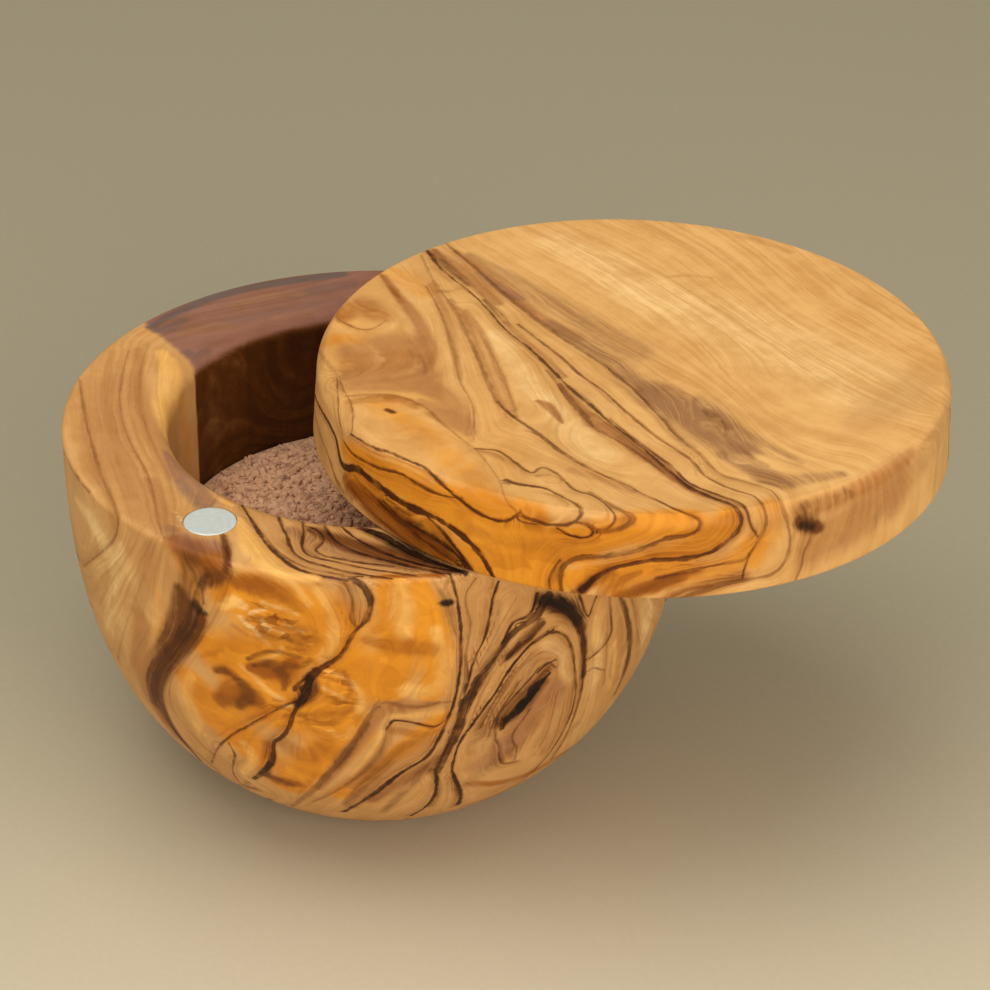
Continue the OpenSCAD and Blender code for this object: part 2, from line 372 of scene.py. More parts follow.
BOWL_LINES = {
    "straw_one": (1, 0.15, (0.2,), [(80, 492), (86, 510), (88, 528), (84, 545)]),
    "straw_two": (2, 0.55, (0.3, 0.35, 0.2), [
        (118, 521), (117, 535), (107, 548), (94, 558), (84, 566)]),
    "straw_three": (3, 0.3, (0.25, 0.3), [(140, 532), (133, 548), (120, 568), (108, 588), (99, 604)]),
    "straw_four": (4, 0.3, (0.3, 0.4), [
        (157, 541), (150, 562), (140, 588), (130, 612), (122, 638), (118, 660)]),
    "band_left": (5, 0.0, (0.1,), [
        (170, 550), (166, 575), (165, 600), (166, 625), (157, 645), (145, 662), (139, 680), (141, 697),
        (154, 715), (172, 737), (195, 758)]),
    "band_middle": (6, 0.5, (0.5, 1.4, 1.8, 1.2, 0.8, 0.6, 0.6), [
        (205, 578), (196, 598), (192, 618), (180, 642), (165, 662), (153, 682), (156, 702), (168, 724),
        (186, 743), (203, 758), (215, 768)]),
    "band_right": (7, 0.4, (0.3, 0.3), [
        (232, 572), (226, 590), (218, 612), (205, 634), (190, 654), (176, 672), (168, 690), (172, 708),
        (186, 728), (203, 746), (216, 758)]),
    "honey_arc_one": (8.4, 0.25, (0.15, 0.2), [
        (262, 578), (280, 586), (300, 600), (312, 616), (316, 630)]),
    "honey_arc_two": (9, 0.35, (0.15, 0.2, 0.15), [
        (316, 583), (328, 598), (338, 616), (342, 634), (338, 650), (328, 661), (312, 668)]),
    "broken_vein": (10, 0.88, (0.5, 0.7, 0.6, 0.5, 0.4, 0.5, 0.9, 1.2, 0.7, 0.5, 0.4, 0.8, 0.5), [
        (352, 579), (362, 584), (370, 595), (371, 610), (365, 622), (356, 630), (349, 640), (344, 652),
        (335, 660), (322, 667), (312, 674), (308, 686), (303, 697), (296, 708), (293, 716), (289, 728),
        (283, 737), (272, 742), (274, 753), (271, 763), (264, 771), (255, 778)]),
    "inner_hook": (9.6, 0.6, (0.2, 0.3, 0.5), [
        (343, 581), (350, 592), (353, 606), (350, 618), (356, 627)]),
    "side_spur": (9.8, 0.8, (0.5, 0.3), [(296, 688), (301, 681), (311, 677)]),
    "lower_vein": (8, 0.8, (0.4, 0.3, 0.3, 0.25, 0.3, 0.2), [
        (292, 703), (278, 708), (262, 718), (246, 727), (233, 734), (222, 743), (215, 752),
        (212, 762)]),
    "lower_spots": (8.2, 0.8, (0.2, 0.3, 0.2, 0.3, 0.5), [
        (230, 745), (236, 756), (232, 766), (234, 776), (243, 786), (254, 788)]),
    "amber_fall": (11, 0.15, (0.2,), [
        (398, 582), (410, 600), (416, 625), (414, 655), (400, 690), (385, 702), (373, 714),
        (364, 728)]),
    "band_diagonal": (11.3, 0.55, (0.5, 0.8, 0.8, 0.5), [
        (378, 703), (368, 717), (360, 732), (351, 748), (340, 760), (330, 772), (318, 785), (305, 797),
        (292, 806)]),
    "second_diagonal": (11.8, 0.5, (0.3, 0.4, 0.3), [
        (386, 729), (384, 742), (378, 755), (370, 765), (360, 775), (346, 785), (330, 795),
        (315, 801)]),
    "hook_line": (12.2, 0.95, (0.35, 0.25, 0.3, 0.3, 0.2), [
        (388, 727), (392, 720), (405, 721), (420, 724), (432, 727), (441, 725), (449, 716)]),
    "soft_shelf": (11.9, 0.5, (0.2, 0.5, 0.4, 0.3), [
        (378, 704), (388, 702), (402, 706), (418, 708), (432, 704), (447, 702)]),
    "amber_edge": (12, 0.15, (0.2,), [(432, 582), (441, 605), (447, 635), (448, 665), (444, 692)]),
    "knot_side_one": (13, 0.95, (0.3, 0.35, 0.3, 0.35, 0.4, 0.6, 0.5), [
        (451, 577), (455, 590), (459, 607), (461, 628), (461, 650), (460, 670), (457, 690), (454, 703),
        (449, 716), (442, 732), (434, 748), (424, 760), (408, 768), (393, 779), (378, 791), (360, 803),
        (345, 811)]),
    "small_knot": (12.7, 0.35, (0.2, 0.5, 0.9, 0.5, 0.2), [
        (434, 583), (440, 592), (446, 601), (449, 613), (453, 626), (458, 638)]),
    "knot_side_two": (14, 0.6, (0.2, 0.25, 0.3, 0.25), [
        (473, 582), (465, 594), (466, 607), (471, 622), (468, 640), (465, 655), (466, 672), (463, 690),
        (458, 706)]),
    "knot_side_three": (15, 0.95, (0.3, 0.3, 0.35, 0.4, 0.35, 0.4, 0.4), [
        (497, 585), (492, 600), (490, 617), (485, 638), (476, 655), (471, 670), (467, 683), (463, 698),
        (459, 714), (454, 730), (447, 745), (441, 760), (436, 772), (437, 786), (434, 798), (425, 808),
        (412, 815)]),
    "nose": (15.5, 1.0, (0.3, 0.35, 0.3), [
        (536, 597), (533, 610), (527, 618), (514, 620), (508, 631), (502, 644)]),
    "knot_left": (16, 0.85, (1.2, 1.0, 0.7, 0.6, 0.7, 1.0, 1.2, 1.0, 1.0, 1.1, 0.9), [
        (547, 600), (540, 612), (530, 622), (516, 630), (507, 640), (494, 660), (480, 677), (469, 699),
        (461, 722), (453, 741), (444, 758), (438, 770)]),
    "knot_ring_left": (17, 1.0, (0.3, 0.4, 0.4, 0.35, 0.3, 0.35, 0.5), [
        (550, 632), (538, 639), (526, 649), (515, 662), (505, 676), (497, 691), (488, 703), (478, 717),
        (468, 730), (459, 743), (454, 758), (451, 771), (457, 783), (462, 795), (458, 804)]),
    "knot_ring_right": (17, 0.85, (0.35, 0.35, 0.3, 0.2), [
        (550, 632), (560, 632), (568, 639), (573, 652), (575, 672), (576, 692), (572, 712), (564, 730),
        (554, 747), (540, 765), (524, 779)]),
    "knot_far": (16, 0.75, (1.3, 1.4, 0.9, 0.7, 0.6, 0.5, 0.4, 0.35, 0.3, 0.3), [
        (550, 602), (565, 606), (576, 616), (582, 631), (584, 648), (584, 667), (582, 686), (578, 704),
        (572, 722), (563, 742), (552, 758)]),
    "knot_heart": (20, 0.95, (0.3, 0.9, 1.5, 0.8, 1.3, 0.8, 1.0, 0.4), [
        (547, 676), (541, 682), (533, 689), (531, 698), (522, 704), (518, 713), (508, 716),
        (503, 727)]),
    "heart_ring_one": (18.6, 0.8, (0.2, 0.4, 0.3, 0.25), [
        (556, 668), (549, 661), (541, 666), (531, 678), (520, 690), (509, 702), (499, 713),
        (495, 727)]),
    "heart_ring_two": (18, 0.45, (0.2, 0.2), [
        (556, 655), (545, 650), (531, 658), (518, 671), (507, 687), (497, 703), (489, 718),
        (484, 734)]),
    "heart_tail_one": (18.6, 0.7, (0.25, 0.3, 0.3), [
        (495, 727), (495, 740), (500, 747), (498, 756), (503, 765), (514, 762)]),
    "heart_tail_two": (19, 0.6, (0.3, 0.25), [
        (528, 712), (521, 722), (512, 733), (513, 744), (518, 748), (515, 758)]),
    "heart_side_one": (17.6, 0.8, (0.2, 0.35, 0.2), [(519, 683), (506, 702), (496, 718), (489, 734)]),
    "heart_side_two": (17.3, 0.7, (0.2, 0.3, 0.2), [(514, 670), (501, 690), (490, 709), (481, 726)]),
    "knot_middle": (16.5, 0.75, (0.5, 1.1, 0.8, 0.4), [(541, 626), (530, 638), (516, 648), (503, 662)]),
    "knot_fibre_one": (16.3, 0.5, (0.2, 0.3, 0.2), [
        (506, 652), (494, 672), (482, 692), (474, 712), (466, 734)]),
    "knot_fibre_two": (14.4, 0.45, (0.2, 0.25), [
        (515, 600), (508, 612), (498, 630), (489, 648), (480, 664)]),
    "knot_fibre_three": (17.2, 0.45, (0.2, 0.3, 0.2), [
        (529, 656), (514, 674), (502, 694), (492, 714), (482, 732)]),
    "heart_right_three": (18.5, 0.4, (0.2, 0.25), [(548, 700), (540, 716), (528, 734), (520, 750)]),
    "heart_right_one": (18.2, 0.4, (0.15, 0.2), [(557, 692), (553, 714), (546, 736), (536, 752)]),
    "heart_right_two": (17.7, 0.4, (0.15, 0.25), [(565, 690), (562, 714), (555, 738), (544, 756)]),
    "heart_hook": (19, 1.0, (0.3, 0.4, 0.2), [(540, 670), (546, 664), (553, 661)]),
    "heart_back": (18.6, 0.35, (0.2,), [(556, 668), (556, 690), (548, 706), (538, 722), (530, 738)]),
    "wedge_v": (15, 0.9, (0.4, 0.3, 0.25, 0.2), [
        (580, 597), (584, 610), (589, 619), (592, 606), (596, 598)]),
    "right_three": (15, 0.3, (0.2, 0.25), [
        (592, 622), (590, 640), (594, 660), (592, 680), (588, 700), (580, 722)]),
    "right_two": (14, 0.75, (0.35, 0.4, 0.3), [
        (610, 599), (611, 615), (612, 630), (608, 641), (600, 650), (590, 658)]),
    "right_one": (13, 0.7, (0.5, 0.8, 1.0, 0.8, 0.5), [
        (621, 598), (626, 612), (630, 627), (630, 645), (628, 660), (623, 677), (616, 692)]),
    "right_edge": (12, 0.5, (0.3, 0.3), [(632, 599), (636, 612), (637, 628), (640, 645)]),
    "right_two_tail": (14, 0.4, (0.25, 0.2), [(607, 636), (607, 650), (606, 665), (604, 682)]),
    "bridge": (14.5, 0.7, (0.15, 0.2), [(586, 672), (593, 667), (603, 670)]),
    "rim_one": (1, 0.6, (0.2, 0.25), [(64, 452), (72, 470), (80, 482), (88, 491)]),
    "rim_two": (2, 0.5, (0.25, 0.3, 0.35, 0.45), [
        (80, 382), (83, 408), (89, 435), (97, 464), (108, 490), (117, 512), (118, 521)]),
    "rim_three": (3, 0.15, (0.2, 0.25), [
        (106, 365), (101, 392), (106, 425), (116, 458), (128, 492), (137, 518), (140, 530)]),
    "rim_four": (4, 0.45, (0.2, 0.25, 0.3, 0.25), [
        (128, 352), (121, 378), (119, 402), (123, 425), (132, 446), (142, 463), (150, 480), (155, 500),
        (158, 520), (163, 536)]),
    "rim_five": (5, 0.3, (0.2, 0.3), [
        (148, 345), (141, 365), (139, 390), (142, 414), (150, 438), (160, 460), (170, 482), (176, 505),
        (172, 535)]),
    "rim_red": (6, 0.0, (0.1,), [(196, 492), (192, 504)]),
    "rim_behind_magnet": (8, 0.6, (0.25,), [(223, 535), (227, 548), (230, 560), (232, 571)]),
    "rim_sweep": (10, 0.95, (0.25, 0.4, 0.45, 0.4, 0.35), [
        (242, 505), (250, 518), (258, 531), (268, 546), (280, 557), (294, 568), (310, 573), (328, 577),
        (344, 580)]),
    "rim_sweep_twin": (10.6, 0.7, (0.2, 0.3, 0.25), [
        (246, 512), (256, 527), (266, 538), (276, 551), (290, 560), (306, 568), (326, 572),
        (350, 577)]),
    "rim_second": (11, 0.85, (0.3, 0.4, 0.4, 0.4, 0.3), [
        (278, 514), (281, 525), (287, 536), (290, 548), (298, 557), (312, 563), (328, 567), (346, 572),
        (366, 575), (388, 578)]),
    "rim_third": (12, 0.85, (0.3, 0.35, 0.3, 0.3), [
        (302, 518), (304, 532), (301, 546), (306, 555), (320, 559), (338, 562), (358, 567), (382, 571),
        (412, 575)]),
    "rim_whirl": (12.4, 0.9, (0.2, 0.3, 0.25), [
        (308, 527), (317, 530), (325, 537), (322, 545), (314, 549), (320, 555), (340, 559), (362, 563),
        (390, 566)]),
    "rim_fourth": (13, 0.95, (0.25, 0.35, 0.4, 0.35), [
        (325, 527), (331, 537), (342, 546), (356, 552), (374, 557), (396, 563), (420, 569),
        (446, 574)]),
    "rim_fifth": (14, 1.0, (0.25, 0.35, 0.35), [
        (342, 527), (352, 536), (366, 545), (384, 553), (404, 560), (426, 566), (455, 571)]),
    "rim_dark": (15, 1.0, (0.7, 0.9, 0.7, 0.6, 0.6), [
        (364, 529), (378, 533), (396, 544), (415, 555), (436, 563), (462, 571)]),
}
# Rings where no line was traced: a pixel or a place in mm, and the ring number there
LID_GUIDES = (
    (545, 506, 6.0), (597, 512, 6.2), (578, 531, 6.1),
    (555, 480, 6.9), (400, 350, 5.0), (380, 372, 4.9),
)
BOWL_GUIDES = (
    (0, 40, 65, 9.0), (48, 0, 55, 10.0), (30, 35, 40, 8.0), (0, 48, 40, 5.0), (-40, 25, 40, 2.0),
)

# Washes of colour under the dark lines, by kind: strength, half widths in mm from one end to the other, and
# pixels. Later kinds lie over earlier ones. Most are the wood's own colour; the marked ones are partly
# painted shade, and one is partly painted light.
STAIN_AND_SHADE_KINDS = ("amber", "honey", "pale", "tan", "rust", "rose", "slate", "smoke", "umber", "soot", "flake")
LID_WASHES = {
    "amber": (
        (0.6, (1.6,), [(328, 342), (342, 337), (358, 341)]),
        (0.4, (3.0,), [(385, 272), (405, 278), (425, 290)]),
        (0.32, (7.0, 9.0, 8.0), [(350, 330), (400, 400), (450, 470)]),
        (0.2, (3.0,), [(480, 340), (500, 420), (520, 470)]),
        (1.0, (1.6, 2.6, 2.8, 2.0), [(352, 478), (395, 515), (445, 550), (486, 582)]),
        (1.0, (2.6,), [(470, 560), (520, 578), (548, 586)]),
        (1.0, (2.6,), [(480, 522), (530, 538), (580, 545)]),
        (1.0, (1.6, 2.6, 3.0, 3.4, 3.2), [(346, 450), (382, 472), (425, 498), (480, 532), (540, 565)]),
        (0.85, (1.2, 1.8, 2.0), [(440, 492), (490, 503), (535, 516)]),
        (0.95, (2.4, 2.6, 2.4), [(560, 548), (620, 532), (690, 522)]),
        (0.95, (1.6, 2.2, 2.4), [(570, 580), (640, 566), (700, 548), (730, 522)]),
        (0.7, (1.6, 2.0, 2.0), [(610, 590), (670, 578), (730, 568), (752, 545)]),
        (0.55, (1.8, 2.2), [(756, 560), (772, 535), (770, 508)]),
        (0.35, (2.0,), [(380, 405), (420, 430), (450, 460), (490, 490)]),
    ),
    "pale": (
        (0.5, (4.0, 7.0, 9.0, 9.0), [(560, 240), (640, 290), (740, 330), (880, 390)]),
        (0.5, (2.0, 3.0), [(495, 335), (530, 385), (600, 455)]),
        (0.7, (0.3, 0.35, 0.2), [(736, 461), (748, 465), (757, 469)]),
        (0.5, (0.25,), [(765, 471), (780, 474)]),
    ),
    "tan": (
        (0.9, (0.6, 0.9, 1.3, 1.3, 0.8), [
            (384, 276), (400, 298), (414, 314), (424, 332), (429, 350), (428, 368)]),
        (0.75, (3.2, 4.6, 4.6, 3.2), [(354, 352), (376, 346), (402, 346), (420, 352)]),
        (0.75, (3.2, 4.6, 4.6, 3.2), [(354, 376), (378, 371), (402, 372), (424, 376)]),
        (0.32, (2.4, 3.6, 3.0), [(366, 424), (398, 432), (430, 446)]),
        (0.5, (1.6, 2.2, 1.8), [(346, 388), (372, 386), (404, 386), (430, 390)]),
        (0.65, (1.6, 2.4, 2.2, 1.6), [(424, 382), (440, 392), (456, 406), (466, 424)]),
        (0.7, (0.5, 0.8, 0.9, 0.8, 0.6), [
            (450, 300), (462, 314), (470, 330), (485, 368), (500, 405), (514, 417)]),
        (0.6, (0.4, 0.7, 0.8, 0.7), [(466, 310), (478, 326), (490, 346), (506, 390), (514, 410)]),
        (0.6, (0.6, 1.0, 0.8, 0.6), [(430, 284), (440, 302), (450, 330), (456, 356), (460, 378)]),
        (0.65, (0.6, 1.6, 2.2, 1.4), [(420, 400), (436, 411), (454, 421), (468, 432)]),
        (1.0, (0.5, 1.0, 0.7, 0.3), [(538, 401), (547, 405), (555, 413), (562, 423)]),
        (0.85, (1.2, 1.5, 1.4, 1.0), [(434, 252), (452, 264), (468, 276), (484, 290), (498, 303)]),
        (0.7, (0.6, 0.8, 0.8, 0.9), [(505, 322), (520, 336), (540, 354), (562, 376)]),
        (0.9, (0.6, 1.1, 1.5, 1.4, 0.8), [(560, 385), (571, 398), (584, 412), (596, 424), (608, 432)]),
        (1.0, (1.0, 1.4, 1.4, 1.2, 1.0), [(606, 425), (620, 436), (640, 450), (660, 465), (678, 480)]),
        (0.8, (0.8, 0.8, 0.7), [(684, 485), (704, 494), (736, 505)]),
        (0.6, (0.6, 0.5), [(742, 508), (744, 526), (728, 548), (700, 558)]),
        (0.5, (0.5,), [(552, 350), (568, 364), (590, 381), (612, 402)]),
        (0.8, (0.8, 1.3, 1.4, 1.8), [(456, 252), (478, 267), (505, 291), (545, 322), (575, 338)]),
        (0.5, (1.0, 1.2), [(572, 470), (605, 480), (630, 490)]),
        (0.5, (0.7,), [(480, 452), (505, 458), (530, 476), (548, 474)]),
        # These two tan strokes lie on the lid's right side: partly tan wood, partly painted shade that
        # darkens the side against the lit top.
        (0.7, (3.6, 4.4, 4.2), [(812, 548), (852, 522), (892, 493)]),
        (0.35, (3.8, 3.2), [(900, 486), (938, 440)]),
        (0.4, (0.9,), [(738, 236), (765, 242), (790, 252)]),
        (0.35, (0.7,), [(606, 258), (622, 263), (640, 274)]),
        (0.4, (0.5,), [(668, 277), (690, 275), (712, 278)]),
        (0.3, (1.2, 1.5), [(700, 395), (740, 412), (790, 435)]),
        # Along the lid's right side just under its top edge: partly tan wood, partly painted shade.
        (0.5, (1.6, 1.4, 0.9), [(800, 514), (860, 490), (912, 452)]),
        (0.4, (3.4, 4.6, 3.4), [(858, 424), (900, 398), (928, 370)]),
    ),
    "rust": (
        (0.32, (3.4, 5.0, 5.0, 3.2), [(352, 366), (376, 360), (402, 360), (424, 362)]),
        (0.2, (2.4, 3.0), [(340, 318), (366, 302), (384, 290)]),
        # These two rust strokes run along the lid's right side under its top edge: partly brown wood,
        # partly painted shade.
        (0.2, (1.6, 1.8, 1.2), [(846, 522), (878, 502), (904, 484)]),
        (0.36, (1.6, 1.8, 1.4, 0.8), [(792, 512), (840, 498), (880, 480), (908, 462)]),
        (0.9, (0.9, 1.2, 1.0), [(618, 597), (645, 588), (680, 577)]),
        (0.6, (1.2, 1.5, 1.3), [(668, 598), (704, 588), (742, 576)]),
        (0.8, (0.8, 1.0), [(574, 594), (592, 583), (610, 572)]),
        (0.6, (2.4, 3.4, 2.6), [(344, 314), (362, 304), (378, 316)]),
        (0.5, (0.5, 0.8), [(380, 274), (390, 287), (402, 302)]),
        (0.5, (0.9, 1.4, 1.2), [(350, 402), (374, 399), (400, 399), (416, 406)]),
        (0.35, (1.2, 1.6), [(470, 530), (520, 545), (570, 545)]),
        (0.45, (1.2, 1.6, 1.4), [(650, 553), (700, 540), (730, 520)]),
        (0.9, (1.2, 2.4, 2.6, 2.0), [(346, 482), (372, 504), (404, 530), (440, 555)]),
        (0.6, (0.5, 1.0, 0.8), [(640, 572), (618, 582), (600, 595)]),
        (0.5, (0.8, 1.0), [(655, 590), (680, 577), (700, 570)]),
    ),
    "rose": (
        (0.5, (1.0, 1.2), [(480, 273), (500, 287), (520, 298)]),
    ),
    "smoke": (
        (0.3, (1.6, 2.0, 1.4), [(676, 410), (704, 432), (736, 452)]),
        (0.55, (1.2, 2.4, 3.4, 4.2), [(470, 255), (520, 285), (570, 312), (632, 350)]),
        (0.75, (1.0, 1.7, 2.4, 2.8), [(548, 322), (585, 345), (620, 370), (655, 398)]),
        (0.95, (2.8, 3.8, 4.0, 3.0), [(655, 392), (685, 412), (712, 428), (738, 448)]),
        (0.7, (1.4, 1.8, 1.8), [(726, 455), (755, 470), (785, 484)]),
        (0.6, (1.8, 1.8, 1.0), [(764, 478), (800, 480), (842, 474)]),
        (0.4, (1.2, 1.4, 1.0), [(700, 400), (744, 432), (800, 462)]),
        (0.4, (0.8,), [(842, 540), (850, 520), (856, 505)]),
        (0.4, (0.8,), [(872, 530), (880, 508)]),
        (0.35, (0.5,), [(735, 425), (765, 445), (795, 458)]),
        (0.35, (0.5,), [(740, 440), (770, 458), (800, 466)]),
    ),
    "umber": (
        (0.35, (0.8, 1.0), [(676, 596), (706, 586), (736, 578)]),
        # This stroke and the one at x 918 to 946 run along the lid's right side under its top edge: partly
        # umber wood, partly painted shade.
        (0.3, (1.3, 1.3, 0.8), [(798, 512), (826, 503), (850, 494)]),
        (0.35, (0.6, 0.8), [(622, 597), (648, 588), (676, 579)]),
        (0.25, (0.7,), [(918, 452), (940, 424), (946, 410)]),
        (0.35, (0.35, 0.6), [(378, 272), (388, 285), (398, 297)]),
        (0.3, (0.6, 1.2, 0.8), [(410, 350), (422, 362), (425, 372)]),
        (0.4, (0.7, 0.6), [(438, 291), (448, 292), (457, 290)]),
        (0.9, (0.55,), [(387, 410), (393, 412)]),
        (0.3, (0.4,), [(548, 404), (556, 413), (562, 421)]),
        (0.55, (0.7, 0.9, 0.8, 0.6), [(430, 253), (442, 263), (454, 274), (468, 285)]),
        (0.5, (0.5, 0.8, 0.5), [(484, 300), (496, 311), (510, 326)]),
        (0.6, (0.3, 0.6, 0.5, 0.3), [(570, 386), (582, 396), (592, 405), (602, 415)]),
        (0.25, (0.5,), [(586, 414), (594, 424), (602, 433)]),
        (0.3, (0.6,), [(620, 437), (650, 458), (690, 487)]),
        (0.45, (0.7, 1.2, 0.9), [(706, 410), (716, 418), (728, 428)]),
        (0.35, (0.5,), [(740, 446), (752, 458), (768, 466)]),
        (0.3, (0.6, 1.0, 0.8), [(664, 420), (678, 436), (694, 447)]),
        (0.3, (0.7, 0.9), [(545, 325), (575, 342), (610, 367), (640, 390)]),
        (0.3, (0.6,), [(505, 292), (520, 302), (535, 314)]),
        (0.3, (0.7, 0.6), [(762, 482), (785, 487)]),
        (0.7, (0.8, 1.6, 1.8, 1.0), [(380, 502), (410, 524), (442, 546), (468, 568)]),
        (0.35, (1.0, 1.6, 1.2), [(352, 486), (380, 516), (420, 544)]),
        (0.4, (0.8, 0.5), [(345, 490), (352, 500)]),
        (1.0, (0.9, 1.5, 1.0), [(798, 522), (808, 525), (819, 528)]),
        (0.35, (0.5, 0.9), [(792, 540), (800, 520), (806, 506)]),
        (0.35, (0.6, 0.8), [(548, 585), (556, 572), (560, 562)]),
        (0.4, (0.5, 0.9, 0.5), [(575, 592), (592, 582), (608, 571)]),
        (0.35, (0.4, 0.6), [(620, 520), (632, 518), (622, 528)]),
        (0.3, (0.5,), [(844, 488), (852, 496)]),
    ),
    "soot": (
        (0.85, (0.7,), [(802, 525), (812, 527)]),
    ),
}
